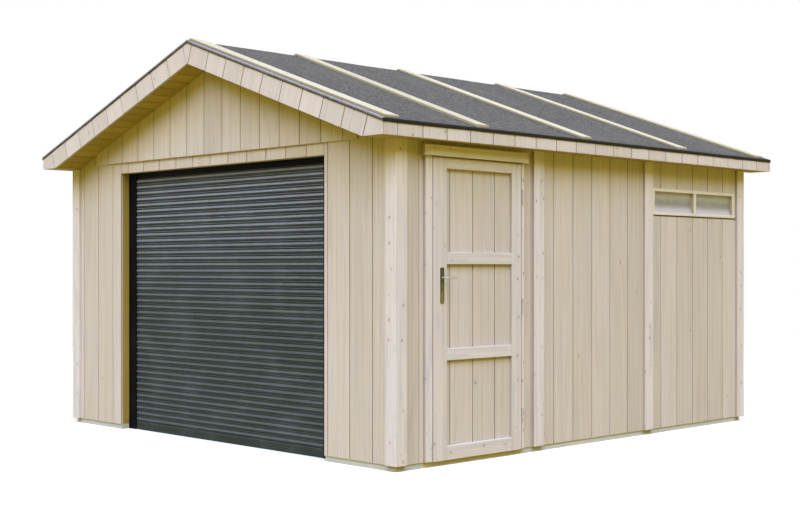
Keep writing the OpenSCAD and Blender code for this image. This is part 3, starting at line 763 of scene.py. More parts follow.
def grown(maker, name, mesh, values):
    """Plain mesh, for editing, that a node tree makes of a starting mesh."""
    tree = bpy.data.node_groups.get(name) or maker(name)
    holder = linked("growing", mesh)
    modifier = holder.modifiers.new("Nodes", "NODES")
    modifier.node_group = tree
    sockets = {item.name: item.identifier for item in tree.interface.items_tree if item.in_out == "INPUT"}
    for label, value in values.items():
        modifier[sockets[label]] = value
    bpy.context.view_layer.update()
    result = bpy.data.meshes.new_from_object(holder.evaluated_get(bpy.context.evaluated_depsgraph_get()))
    bm = bmesh.new()
    bm.from_mesh(result)
    bpy.data.objects.remove(holder)
    bpy.data.meshes.remove(result)
    bpy.data.meshes.remove(mesh)
    return bm


def bar_mesh(name, section, start, end):
    """Closed bar with one section, given as corners square to its length."""
    n = len(section)
    points = [corner(place) for place in (start, end) for corner in section]
    faces = [list(range(n)), [n + i for i in reversed(range(n))]]
    faces += [[i, n + i, n + (i + 1) % n, (i + 1) % n] for i in range(n)]
    mesh = bpy.data.meshes.new(name)
    mesh.from_pydata(points, [], faces)
    return mesh


def board_run(stack, matrix, run, height, joint, material, thickness, width=None, planes=(), seed=1):
    """Adds a run of boards that starts at the matrix's origin, goes along its X and faces its -Y. A
    board's front edges are cut back to half a V joint."""
    s = sizes()
    width = width or s.board_width
    first = joint % width
    count = math.ceil((run - first) / width - 1e-6) + 1
    if first < 1e-6:
        first, count = width, count - 1
    cut = s.groove / width
    half = [(0.5 - cut, 0), (0.5, s.groove), (0.5, thickness)]
    outline = [(-x, y) for x, y in half[::-1]] + half
    section = [lambda z, x=x, y=y: (x, y, z) for x, y in outline]
    bm = grown(board_run_tree, "Board run", bar_mesh("board", section, 0, height), {
        "Boards": count, "Cover width": width, "First joint": first, "Run length": run, "Seed": seed,
        "Material": material,
    })
    stack.take(trimmed(bm, into(matrix, planes)), matrix, seated=True)


TURNS = {"front": 0, "right": 90, "rear": 180, "left": -90}


def run_start(face, lowest, highest):
    """Length of a run on one side of the building and the matrix that puts it there."""
    turn = Matrix.Rotation(math.radians(TURNS[face]), 4, "Z")
    corner = {
        "front": (lowest.x, lowest.y), "rear": (highest.x, highest.y),
        "right": (highest.x, lowest.y), "left": (lowest.x, highest.y),
    }[face]
    run = highest.x - lowest.x if face in ("front", "rear") else highest.y - lowest.y
    return run, Matrix.Translation((corner[0], corner[1], lowest.z)) @ turn


def joint_from(face, start, place):
    """Distance from a run's start to a joint given by its place on the building."""
    corner = start.translation
    return {"front": place - corner.x, "rear": corner.x - place, "right": place - corner.y,
            "left": corner.y - place}[face]


def between(a, b):
    """Lowest and highest corner of the box that two points span."""
    return Vector(map(min, a, b)), Vector(map(max, a, b))


# Walls ---------------------------------------------------------------------------------


def wall_elements():
    """Each wall element: the side it stands on, its node, and the place of one joint of its boards."""
    s = sizes()
    side_joint = low("right_wall_middle").y + s.side_groove
    return [
        ("front", "front_wall_left", s.front_groove), ("front", "front_wall_right", s.front_groove),
        ("rear", "rear_wall", s.front_groove), ("left", "left_wall", side_joint),
        ("right", "right_wall_corner", s.corner_groove),
        ("right", "right_wall_hinge_side", s.corner_groove),
        ("right", "right_wall_middle", side_joint),
        ("right", "right_wall_window", low("right_wall_window").y + s.side_groove),
    ]


def element_boards(stack, face, box, joint, planes=(), seed=1):
    """Cladding of one stretch of wall. The joint is a place on the building."""
    run, start = run_start(face, *box)
    board_run(stack, start, run, box[1].z - box[0].z, joint_from(face, start, joint), cladding_wood(),
              CLADDING, planes=planes, seed=seed)


def round_opening(box, opening, seam):
    """The four stretches of a side wall round an opening, with an open seam under its foot."""
    lowest, highest = box
    sill, head = opening[0].z, opening[1].z
    return [
        (lowest, Vector((highest.x, highest.y, sill - seam))),
        (Vector((lowest.x, lowest.y, head)), highest),
        (Vector((lowest.x, lowest.y, sill)), Vector((highest.x, opening[0].y, head))),
        (Vector((lowest.x, opening[1].y, sill)), Vector((highest.x, highest.y, head))),
    ]


def roof_planes(drop):
    """Two planes that cut away what stands over the roof's line, lowered by a drop."""
    top = Vector((0, 0, RIDGE_Z - drop))
    return [(top, roof_normal(side)) for side in (1, -1)]


def gable_boxes(end):
    """Outer and inner layer of boards of one gable, as boxes before the roof cuts them."""
    lowest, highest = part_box(f"{end}_gable")
    outward = -1 if end == "front" else 1
    face = lowest.y if end == "front" else highest.y
    seam, back = face - outward * CLADDING, face - outward * 2 * CLADDING
    stop = highest.x - sizes().gable_stop
    outer = between((-stop, face, lowest.z), (stop, seam, highest.z))
    inner = between((-highest.x, seam, lowest.z), (highest.x, back, highest.z))
    return outer, inner


class GARAGE_OT_cladding(bpy.types.Operator):
    """Boards the walls and gables, joint by joint"""

    bl_idname = "garage.cladding"
    bl_label = "Cladding boards"

    def execute(self, context):
        s = sizes()
        elements = wall_elements()
        under_deck = s.deck * PLUMB + CLEAR
        under_soffit = RIDGE_Z - (low("soffits").z + SLOPE * (SIDE_X - s.rafter_seat)) + CLEAR
        extra = {
            "front": [("front", "front_lintel", s.front_groove)], "rear": [], "left": [],
            "right": [("right", "right_wall_over_door", s.corner_groove)],
        }
        for n, side in enumerate(TURNS):
            stack = Stack(3 + n)
            names = []
            for k, (face, node, joint) in enumerate([e for e in elements if e[0] == side] + extra[side]):
                boxes = [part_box(node)]
                if node == "right_wall_window":
                    boxes = round_opening(boxes[0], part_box("window_frame"), s.window_seam)
                for box in boxes:
                    element_boards(stack, face, box, joint, seed=20 + 10 * n + k)
                names.append(node)
            if side in ("front", "rear"):
                outer, inner = gable_boxes(side)
                element_boards(stack, side, outer, s.gable_groove, roof_planes(under_soffit), 11)
                element_boards(stack, side, inner, s.gable_groove, roof_planes(under_deck), 12)
                names.append(f"{side}_gable")
            stack.piece(f"{side}_boards", cladding_wood(), slot="cladding", replaces=names)
        return {"FINISHED"}


class GARAGE_OT_wall_frames(bpy.types.Operator):
    """Puts studs and rails behind the cladding"""

    bl_idname = "garage.wall_frames"
    bl_label = "Wall frames"

    def execute(self, context):
        s = sizes()
        stack = Stack(7)
        y0, y1 = CLADDING, CLADDING + s.stud_depth
        for face, node, _ in wall_elements():
            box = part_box(node)
            run, start = run_start(face, *box)
            run -= HAIR
            height = box[1].z - box[0].z
            top = height
            if node == "right_wall_window":
                top = low("window_frame").z - box[0].z
                head = high("window_frame").z - box[0].z
                ends = low("window_frame").y - box[0].y, high("window_frame").y - box[0].y
                plank(stack, (0, y0, head), (run, y1, height), "x", start)
                plank(stack, (0, y0, top), (ends[0], y1, head), "z", start)
                plank(stack, (ends[1], y0, top), (run, y1, head), "z", start)
            bays = math.ceil((run - s.stud) / (2 * s.board_width))
            pitch = (run - s.stud) / bays
            plank(stack, (0, y0, 0), (run, y1, s.stud), "x", start)
            plank(stack, (0, y0, top - s.stud), (run, y1, top), "x", start)
            for i in range(bays + 1):
                plank(stack, (i * pitch, y0, s.stud), (i * pitch + s.stud, y1, top - s.stud), "z", start)
        for face, node in (("front", "front_lintel"), ("right", "right_wall_over_door")):
            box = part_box(node)
            run, start = run_start(face, *box)
            plank(stack, (0, y0, 0), (run, y1, box[1].z - box[0].z), "x", start)
        for face, wall in (("front", "front_wall_left"), ("rear", "rear_wall")):
            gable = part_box(f"{face}_gable")
            run, start = run_start(face, Vector((gable[0].x, low(wall).y, gable[0].z)),
                                   Vector((gable[1].x, high(wall).y, gable[1].z)))
            plank(stack, (0, y0, HAIR), (run, y1, s.stud), "x", start)
            cuts = into(start, roof_planes(s.deck * PLUMB + STUD_CLEAR))
            for i in range(-3, 4):
                x = run / 2 + i * GABLE_BAY
                plank(stack, (x - s.stud / 2, y0, s.stud), (x + s.stud / 2, y1, 1.0), "z", start,
                      planes=cuts)
        stack.piece("wall_frames", roof_wood(), slot="cladding")
        return {"FINISHED"}


class GARAGE_OT_planks(bpy.types.Operator):
    """Planed corner boards and cover battens, and the bearers and threshold under the walls"""

    bl_idname = "garage.planks"
    bl_label = "Planks and bearers"

    def execute(self, context):
        c = colours()
        stack = Stack(8)
        eased(stack, "corner_boards_gables", Z, Y, sawn=False)
        # painted shade only on the sides of the rear corner boards
        eased(stack, "corner_boards_sides", Z, X, sawn=lambda bm: middle_of(bm).y > 0)
        stack.piece("corner_planks", plank_wood(), slot="trim_boards",
                    replaces=("corner_boards_gables", "corner_boards_sides"))
        eased_piece(9, "batten_planks", plank_wood(), "trim_boards", [("cover_battens", Z, thinnest)])
        bearer = wood("Treated bearers", c.bearer, knots=(8.0, 0.009, 0.25), rings=0.08, greying=0.25,
                      spread=0.06)
        eased_piece(10, "bearer_timbers", bearer, "treated_timber",
                    [("sill_front", X), ("sill_rear", X), ("sill_sides", Y)])
        eased_piece(11, "threshold_board", wood("Dark threshold", c.threshold, streak=0.12),
                    "threshold_timber", [("door_threshold", Y)])
        return {"FINISHED"}


# Roof ----------------------------------------------------------------------------------


def sheet(side, y_low, y_high, z):
    """Matrix of a sheet of boards under one slope: its X runs down the slope, its Z along the ridge
    and its -Y faces down. The height is that of its underside at the ridge."""
    down, up = down_way(side), roof_normal(side)
    return frame_of(down, up, down.cross(up), origin=(0, y_high if side > 0 else y_low, z))


def sloping_sheet(stack, side, y_low, y_high, z, reach, joint, thickness, seed):
    """Boards along the ridge under one slope, from the ridge out to a plumb end."""
    planes = [((side * RIDGE_CLEAR, 0, 0), (-side, 0, 0)), ((side * reach, 0, 0), (side, 0, 0))]
    board_run(stack, sheet(side, y_low, y_high, z), reach * PLUMB + 0.02, y_high - y_low, joint,
              roof_wood(), thickness, sizes().roof_board, planes, seed)


class GARAGE_OT_roof_timbers(bpy.types.Operator):
    """Rafters, tie beams, roof boards and soffit boards"""

    bl_idname = "garage.roof_timbers"
    bl_label = "Roof timbers"

    def execute(self, context):
        s = sizes()
        eased_piece(12, "roof_beams", roof_wood(), "roof_timber",
                    [("rafters", down_slope, Y), ("tie_beams", X, Y)])

        stack = Stack(13)
        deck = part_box("roof_deck_right")
        for side in (1, -1):
            sloping_sheet(stack, side, deck[0].y, deck[1].y, RIDGE_Z - s.deck * PLUMB, TAIL_X, 0.07,
                          s.deck - HAIR, 51 + side)
        stack.piece("roof_boards", roof_wood(), slot="roof_timber",
                    replaces=("roof_deck_left", "roof_deck_right"))

        stack = Stack(14)
        lowest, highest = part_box("soffits")
        level_x = SIDE_X - s.rafter_seat
        gables = low("front_gable").y + CLADDING, high("rear_gable").y - CLADDING
        for y0, y1 in ((lowest.y, gables[0]), (gables[1], highest.y)):
            for side in (1, -1):
                sloping_sheet(stack, side, y0, y1, lowest.z + SLOPE * level_x, level_x, 0.05, s.soffit,
                              61 + side)
                box = between((side * level_x, y0, lowest.z), (side * highest.x, y1, lowest.z + s.soffit))
                plank(stack, *box, "y")
        wall_x = high("right_wall_middle").x
        seam = (wall_x + TAIL_X) / 2
        for side in (1, -1):
            for near, far in ((wall_x, seam - HAIR), (seam + HAIR, TAIL_X)):
                box = between((side * near, low("eave_boards").y, EAVE_Z),
                              (side * far, high("eave_boards").y, EAVE_Z + s.soffit))
                plank(stack, *box, "y", ease=0.001)
        stack.piece("soffit_boards", roof_wood(), slot="roof_timber", replaces=("soffits",))
        return {"FINISHED"}


class GARAGE_OT_fascias(bpy.types.Operator):
    """Short upright boards along both verges and both eaves"""

    bl_idname = "garage.fascias"
    bl_label = "Verge and eave boards"

    def execute(self, context):
        finish = wood("Fascia boards", colours().fascia, knots=(9.0, 0.007, 0.16), rings=0.12, streak=0.09,
                      greying=0.10, spread=0.06)
        stack = Stack(15)
        for out in (-1, 1):
            for side in (1, -1):
                self.verge(stack, side, out, finish)
        stack.piece("verge_fascias", finish, slot="fascia_boards",
                    replaces=("verge_boards_left", "verge_boards_right"))

        stack = Stack(16)
        lowest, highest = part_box("eave_boards")
        for side, face in ((1, "right"), (-1, "left")):
            box = between((side * EAVE_X, lowest.y, lowest.z), (side * TAIL_X, highest.y, highest.z + 0.01))
            run, start = run_start(face, *box)
            joint = joint_from(face, start, FRONT_Y + sizes().eave_groove)
            board_run(stack, start, run, box[1].z - box[0].z, joint, finish, FASCIA,
                      planes=[((0, 0, RIDGE_Z), roof_normal(side))], seed=80 + side)
        stack.piece("eave_fascias", finish, slot="fascia_boards", replaces=("eave_boards",))
        return {"FINISHED"}

    @staticmethod
    def verge(stack, side, out, finish):
        """Boards square to the slope along one verge, cut level over the side wall."""
        s = sizes()
        y = FRONT_Y if out < 0 else REAR_Y
        level_x = SIDE_X - s.rafter_seat
        reach = EAVE_X * PLUMB
        spare = 0.08
        depth = (RIDGE_Z - (EAVE_Z + SLOPE * level_x)) * math.cos(PITCH) + spare
        along = Vector((math.cos(PITCH), 0, -side * math.sin(PITCH))) * -out
        up = roof_normal(side)
        if along.x * side < 0:
            corner, joint = Vector((side * EAVE_X, y, RIDGE_Z - SLOPE * EAVE_X)), s.verge_groove
        else:
            corner, joint = Vector((0, y, RIDGE_Z)), reach - s.verge_groove
        matrix = frame_of(along, (0, -out, 0), up, origin=corner - along * spare - up * depth)
        planes = [
            ((0, y, 0), (-side, 0, 0)), ((side * EAVE_X, y, 0), (side, 0, 0)), ((0, y, RIDGE_Z), up),
            ((0, y, EAVE_Z), (0, 0, -1)), ((side * level_x, y, EAVE_Z), -up),
        ]
        board_run(stack, matrix, reach + 2 * spare, depth + 0.02, spare + joint, finish, FASCIA,
                  planes=planes, seed=70 + side + out * 3)


class GARAGE_OT_felt(bpy.types.Operator):
    """Roofing felt with turned down edges, and the battens that hold it"""

    bl_idname = "garage.felt"
    bl_label = "Roofing felt"

    def execute(self, context):
        c = colours()
        stack = Stack(17)
        for side in (1, -1):
            self.slope(stack, side)
        piece = stack.piece("felt_sheets", felt_material(c.felt, c.granule, c.felt_edge_shade), slot="felt",
                            replaces=("roof_felt_left", "roof_felt_right"))
        thick = piece.modifiers.new("Felt thickness", "SOLIDIFY")
        thick.thickness = sizes().felt
        thick.offset = -1.0
        finish = wood("Felt battens", c.felt_batten, knots=(7.0, 0.009, 0.22), rings=0.16, streak=0.10,
                      greying=0.06, rim=0.8)
        eased_piece(18, "felt_batten_strips", finish, "felt_batten_timber", [("felt_battens", down_slope)],
                    ease=0.0015)
        return {"FINISHED"}

    @staticmethod
    def slope(stack, side):
        """Felt of one slope: it lies a little loose and its turned down edges are ragged."""
        lowest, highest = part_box("roof_felt_right")
        reach = highest.x
        lap = highest.z - SLOPE * reach - lowest.z
        round_over, shoulder = 0.004, 0.012
        drops = [round_over, shoulder, lap * 0.7, lap]
        # share of painted highlight on the bend over the verge
        bend_highlight = {round_over: 0.6, shoulder: 0.25}

        def spread(first, last):
            count = round((last - first) / 0.1)
            return [(first + (last - first) * i / count, 0.0) for i in range(count + 1)]

        xs = spread(0.0, reach - round_over) + [(reach, d) for d in drops]
        near, far = (lowest.y, lowest.y + round_over), (highest.y - round_over, highest.y)
        ys = ([(near[0], d) for d in reversed(drops)] + [(near[1], 0.0)]
              + spread(near[1] + 0.03, far[0] - 0.03) + [(far[0], 0.0)] + [(far[1], d) for d in drops])
        chance = random.Random(5)
        bm = bmesh.new()
        edge, bend = bm.verts.layers.float.new("board"), bm.verts.layers.float.new("rim")
        grid, upright = [], {}
        for x, over_eave in xs:
            row = []
            for y, over_verge in ys:
                drop, corner = max(over_eave, over_verge), over_eave and over_verge
                if corner and (y, drop) in upright:
                    row.append(upright[y, drop])
                    continue
                z = highest.z - SLOPE * x - drop
                if drop == 0:
                    swell = 0.0008 * (1 + math.sin(y * 9.1 + 1.7 * math.sin(x * 3.3)))
                    z -= swell + chance.uniform(0, 0.0004)
                elif drop == lap:
                    z += chance.uniform(0, 0.003)
                inset_x = chance.uniform(0, 0.0012) if over_eave > 0.02 else 0.0
                inset_y = chance.uniform(0, 0.0012) if over_verge > 0.02 else 0.0
                inset_y = inset_y if y < 0 else -inset_y
                vert = bm.verts.new((side * (x - inset_x), y + inset_y, z))
                # black along the whole eave, painted shade, and only along the lower rim at the verges, a
                # painted shadow line
                vert[edge] = float(over_eave > 0 or over_verge == lap)
                # pale along the bend over the verge: a painted highlight
                vert[bend] = 1.0 if y in (near[1], far[0]) else bend_highlight.get(over_verge, 0.0)
                row.append(vert)
                if corner:
                    upright[y, drop] = vert
            grid.append(row)
        for row, below in zip(grid, grid[1:]):
            for j in range(len(ys) - 1):
                quad = [row[j], below[j], below[j + 1], row[j + 1]]
                if len(set(quad)) == 4:
                    bm.faces.new(quad if side > 0 else quad[::-1])
        stack.take(bm, smooth=True)


# Shutter, door and window --------------------------------------------------------------


class GARAGE_OT_shutter(bpy.types.Operator):
    """Interlocking slats, bottom bar, guides and box of the roller shutter"""

    bl_idname = "garage.shutter"
    bl_label = "Roller shutter"

    def execute(self, context):
        c, pitch = colours(), sizes().slat_pitch
        coating = coating_material("Shutter coating", c.shutter, c.shutter_sheen_and_dust)
        lowest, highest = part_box("shutter_curtain")
        # a narrow bead at the foot, a groove, and a broad face that rolls back to the joint above it
        face, crest, deep = 0.0138, 0.45, lowest.y + 0.0072
        outline = [(deep, 0.0006), (deep, 0.0046)]
        for i in range(7):
            turn = math.pi * i / 6
            outline.append((deep - 0.0036 * math.sin(turn), 0.0080 - 0.0032 * math.cos(turn)))
        outline.append((deep, 0.0126))
        for i in range(13):
            share = i / 12
            if share < crest:
                back = 0.0052 * (1 - share / crest) ** 2.4
            else:
                back = 0.0060 * ((share - crest) / (1 - crest)) ** 1.4
            outline.append((lowest.y + back, face + share * (pitch - 0.0034 - face)))
        outline += [(deep, pitch - 0.0030), (deep, pitch - 0.0006), (highest.y, pitch - 0.0006),
                    (highest.y, 0.0006)]
        section = [lambda x, y=y, z=z: (x, y, z) for y, z in outline]
        count = math.floor((highest.z - lowest.z) / pitch + 0.01)
        bm = grown(slat_stack_tree, "Slat stack", bar_mesh("slat", section, lowest.x, highest.x), {
            "Slats": count, "Pitch": pitch, "Foot": lowest.z, "Material": coating})
        bmesh.ops.recalc_face_normals(bm, faces=bm.faces)
        stack = Stack(19)
        stack.take(bm)
        stack.piece("slats", coating, slot="shutter_metal", replaces=("shutter_curtain",))
        stack = Stack(27)
        # a black strip across the top of the curtain under the lintel: painted shade where there is only
        # deep shade
        head = low("front_lintel").z
        plank(stack, (lowest.x + 0.002, lowest.y - 0.002, head - 0.046),
              (highest.x - 0.002, lowest.y + 0.001, head + 0.02), "x", ease=0.0005)
        shade_black = coating_material("Shade black", tone(6, 5, 5), c.shutter_sheen_and_dust, 0.05, 0.03)
        stack.piece("lintel_shade_strip", shade_black, slot="shutter_metal")
        cover("shutter_bottom_bar", coating)
        cover("shutter_box", coating)
        cover("shutter_guides", coating_material("Guide coating", c.guide, c.shutter_sheen_and_dust, 0.1, 0.05))
        return {"FINISHED"}


class GARAGE_OT_side_door(bpy.types.Operator):
    """Doorway planks and the boarded leaf"""

    bl_idname = "garage.side_door"
    bl_label = "Side door"

    def execute(self, context):
        eased_piece(20, "doorway_planks", plank_wood(), "trim_boards",
                    [("door_jambs", Z, X), ("door_cap", Y, X)])
        finish = wood("Door planks", colours().door, knots=(12.0, 0.008, 0.36),
                      knot_tint=(0.40, 0.35, 0.33), rings=0.14, streak=0.12, greying=0.32, spread=0.03,
                      rim=0.8)
        eased_piece(21, "door_framing", finish, "door_timber",
                    [("door_stiles", Z, X), ("door_rails", Y, X)], "side_door")
        stack = Stack(22)
        element_boards(stack, "right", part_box("door_boards"), sizes().door_groove, seed=91)
        stack.piece("door_panelling", cladding_wood(), "side_door", "door_panel", ("door_boards",))
        return {"FINISHED"}


def tube(stack, path, radii, sides=20):
    """Closed tube along a path, with an across and an upright radius at each point."""
    bm = bmesh.new()
    rings = []
    for i, point in enumerate(path):
        forward = (path[min(i + 1, len(path) - 1)] - path[max(i - 1, 0)]).normalized()
        across = forward.cross(Vector((0, 0, 1))).normalized()
        ring = []
        for k in range(sides):
            a = 2 * math.pi * k / sides
            out = across * (radii[i][0] * math.cos(a)) + Vector((0, 0, radii[i][1] * math.sin(a)))
            ring.append(bm.verts.new(point + out))
        rings.append(ring)
    for first, second in zip(rings, rings[1:]):
        for k in range(sides):
            bm.faces.new([first[k], first[(k + 1) % sides], second[(k + 1) % sides], second[k]])
    bm.faces.new(rings[0])
    bm.faces.new(rings[-1])
    bmesh.ops.recalc_face_normals(bm, faces=bm.faces)
    stack.take(bm, smooth=True)


class GARAGE_OT_hardware(bpy.types.Operator):
    """Hinges, handle plates and the lever"""

    bl_idname = "garage.hardware"
    bl_label = "Door hardware"

    def execute(self, context):
        c = colours()
        steel = metal_material("Zinc plated steel", c.steel, 0.45, (60.0, 60.0, 900.0), 0.35)
        cover("door_hinge_pins", steel)
        cover("door_hinge_knuckles", steel)
        eased_piece(23, "backplates", plate_material("Bronzed plate", c.plate), "plate_bronze",
                    [("handle_plates", Z, X)], "side_door", ease=0.0008, segments=2)
        self.keyholes()
        stack = Stack(24)
        lowest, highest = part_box("handle_lever")
        middle = (lowest + highest) / 2
        rod, bend = 0.0075, 0.016
        halves = []
        for side in (-1, 1):
            end_x = (highest.x if side > 0 else lowest.x) - side * rod
            root = Vector((middle.x, lowest.y + rod, middle.z))
            elbow = Vector((end_x - side * bend, root.y, root.z))
            path = [root.lerp(elbow, k / 3) for k in range(4)]
            radii = [(rod, rod)] * 4
            for k in range(1, 7):
                a = math.pi / 2 * k / 6
                path.append(elbow + Vector((side * bend * math.sin(a), bend * (1 - math.cos(a)), 0)))
                radii.append((rod - 0.0012 * k / 6, rod))
            grip = path[-1]
            for k in range(1, 13):
                share = k / 12
                y = grip.y + (highest.y - 0.001 - grip.y) * share
                path.append(Vector((grip.x - side * 0.003 * math.sin(share * math.pi), y, grip.z)))
                end = math.sqrt(max(1 - max(share * 12 - 10, 0) ** 2 / 4.6, 0.04))
                radii.append((0.0063 * end, (rod + 0.0004 * share) * end))
            halves.append((path, radii))
        inner, outer = halves
        tube(stack, inner[0][:0:-1] + outer[0], inner[1][:0:-1] + outer[1])
        satin = metal_material("Satin lever", c.lever, 0.32, (400.0, 50.0, 400.0), 0.5)
        stack.piece("lever_bar", satin, "lever", "lever_metal", ("handle_lever",))
        return {"FINISHED"}

    @staticmethod
    def keyholes():
        """A dark keyhole below the lever in each plate."""
        plate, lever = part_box("handle_plates"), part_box("handle_lever")
        middle = Vector((0, (plate[0].y + plate[1].y) / 2, (lever[0].z + lever[1].z) / 2 - 0.072))
        stack = Stack(26)
        for x in (plate[0].x, plate[1].x):
            round_part = bmesh.new()
            bmesh.ops.create_cone(round_part, cap_ends=True, segments=20, radius1=0.0042, radius2=0.0042,
                                  depth=0.0006)
            spot = Vector((x, middle.y, middle.z))
            stack.take(round_part, Matrix.Translation(spot) @ Matrix.Rotation(math.radians(90), 4, "Y"))
            plank(stack, spot + Vector((-0.0003, -0.0016, -0.013)), spot + Vector((0.0003, 0.0016, 0)), "z",
                  ease=0.0001)
        dark = metal_material("Keyhole", tone(14, 12, 8), 0.6, (200.0, 200.0, 200.0), 0.2)
        stack.piece("keyholes", dark, "side_door", "plate_bronze")


class GARAGE_OT_window(bpy.types.Operator):
    """Strip window with its two panes"""

    bl_idname = "garage.window"
    bl_label = "Window"

    def execute(self, context):
        c = colours()
        finish = wood("Window frame", c.window, knots=(5.0, 0.006, 0.05), rings=0.05, spread=0.02, rim=0.9)
        eased_piece(25, "window_sash", finish, "window_paint", [("window_frame", Y, X)], ease=0.0015)
        cover("window_glass", glass_material(c.glass, c.glass_foot))
        return {"FINISHED"}


# Nails ---------------------------------------------------------------------------------


class Nails:
    """Places of nail heads, each a point on a face and the way that face looks"""

    BOARD_INSET = 0.035  # from a board's joints
    RUN_END = 0.012  # nearest to the end of a run of boards
    PLANK_INSET, PLANK_END = 0.022, 0.045  # from a plank's sides and ends
    STEP = 0.62  # along a plank
    NARROW = 0.07  # a plank up to this width has one row

    def __init__(self):
        self.places = []

    def row(self, face, box, joint, height, width=None):
        """Two heads in each board of a run, at one height."""
        width = width or sizes().board_width
        run, start = run_start(face, *box)
        first = joint_from(face, start, joint) % width - width
        facing = start.to_3x3() @ Vector((0, -1, 0))
        for k in range(math.ceil(run / width) + 2):
            for inset in (self.BOARD_INSET, width - self.BOARD_INSET):
                x = first + k * width + inset
                if self.RUN_END < x < run - self.RUN_END:
                    self.places.append((start @ Vector((x, 0, height)), facing))

    def pairs(self, node, axis=None):
        """Pairs of heads along each solid of a node, on its face that looks out along an axis, or
        through its thinnest part."""
        for bm in loose_solids(node):
            *corners, through = span_of(bm)
            bm.free()
            self.pairs_on(corners, through if axis is None else axis)

    def pairs_on(self, corners, axis):
        """Pairs of heads along one plank, given by its corners."""
        span = corners[1] - corners[0]
        out = 1 if (corners[0][axis] + corners[1][axis]) > 0 else -1
        others = sorted((k for k in range(3) if k != axis), key=lambda k: span[k])
        across, along = others
        facing = Vector((0, 0, 0))
        facing[axis] = out
        reach = span[along] - 2 * self.PLANK_END
        steps = max(round(reach / self.STEP), 1)
        rows = (self.PLANK_INSET, span[across] - self.PLANK_INSET)
        for i in range(steps + 1):
            for inset in rows if span[across] > self.NARROW else (span[across] / 2,):
                place = Vector((0, 0, 0))
                place[axis] = corners[1 if out > 0 else 0][axis]
                place[across] = corners[0][across] + inset
                place[along] = corners[0][along] + self.PLANK_END + reach * i / steps
                self.places.append((place, facing))

    def down_battens(self):
        """Heads down the middle of each felt batten."""
        for bm in loose_solids("felt_battens"):
            side = 1 if middle_of(bm).x > 0 else -1
            tops = sorted((v.co.copy() for v in bm.verts), key=lambda p: -(p.z + SLOPE * abs(p.x)))[:4]
            bm.free()
            tops.sort(key=lambda p: abs(p.x))
            head, foot = (tops[0] + tops[1]) / 2, (tops[2] + tops[3]) / 2
            facing = Vector((side * SLOPE, 0, 1)).normalized()
            for i in range(6):
                self.places.append((head.lerp(foot, 0.03 + 0.94 * i / 5), facing))

    def piece(self, name, finish, body="building"):
        """Makes the heads, all of them on one body."""
        mesh = bpy.data.meshes.new("nail places")
        mesh.from_pydata([tuple(place) for place, _ in self.places], [], [])
        flat = [c for _, facing in self.places for c in facing]
        mesh.attributes.new("facing", "FLOAT_VECTOR", "POINT").data.foreach_set("vector", flat)
        stack = Stack(30)
        stack.take(grown(head_tree, "Nail heads", mesh, {
            "Radius": sizes().nail_head, "Rise": 0.0012, "Sides": 10, "Material": finish}))
        stack.piece(name, finish, body, "hinge_steel")


class GARAGE_OT_nails(bpy.types.Operator):
    """Nail heads in the boards, planks, fascias and battens"""

    bl_idname = "garage.nails"
    bl_label = "Nail heads"

    def execute(self, context):
        s = sizes()
        finish = metal_material("Galvanised nail heads", colours().nail, 0.6, (300.0, 300.0, 300.0), 0.25)
        nails = Nails()
        for face, node, joint in wall_elements():
            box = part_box(node)
            for height in (s.stud / 2, box[1].z - box[0].z - s.stud / 2):
                nails.row(face, box, joint, height)
        for face in ("front", "rear"):
            nails.row(face, gable_boxes(face)[0], s.gable_groove, s.stud / 2)
        lowest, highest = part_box("eave_boards")
        for side, face in ((1, "right"), (-1, "left")):
            box = between((side * EAVE_X, lowest.y, lowest.z), (side * TAIL_X, highest.y, highest.z))
            nails.row(face, box, FRONT_Y + s.eave_groove, (box[1].z - box[0].z) / 2)
        nails.pairs("corner_boards_gables", 1)
        nails.pairs("corner_boards_sides", 0)
        nails.pairs("cover_battens")
        nails.pairs("door_jambs", 0)
        nails.down_battens()
        nails.piece("nail_heads", finish)
        nails = Nails()
        nails.pairs("door_stiles", 0)
        nails.pairs("door_rails", 0)
        nails.piece("door_nail_heads", finish, "side_door")
        return {"FINISHED"}


# Stage ---------------------------------------------------------------------------------

WARM, COOL = (1.0, 0.91, 0.2), (0.15, 0.3, 1.0)


def white_to_the_eye(tree):
    """One for the rays that look at the background, alone or by way of metal or glass."""
    path = add(tree, "ShaderNodeLightPath").outputs
    shown = maths(tree, "MAXIMUM", path["Is Camera Ray"], path["Is Glossy Ray"])
    return maths(tree, "MAXIMUM", shown, path["Is Transmission Ray"])


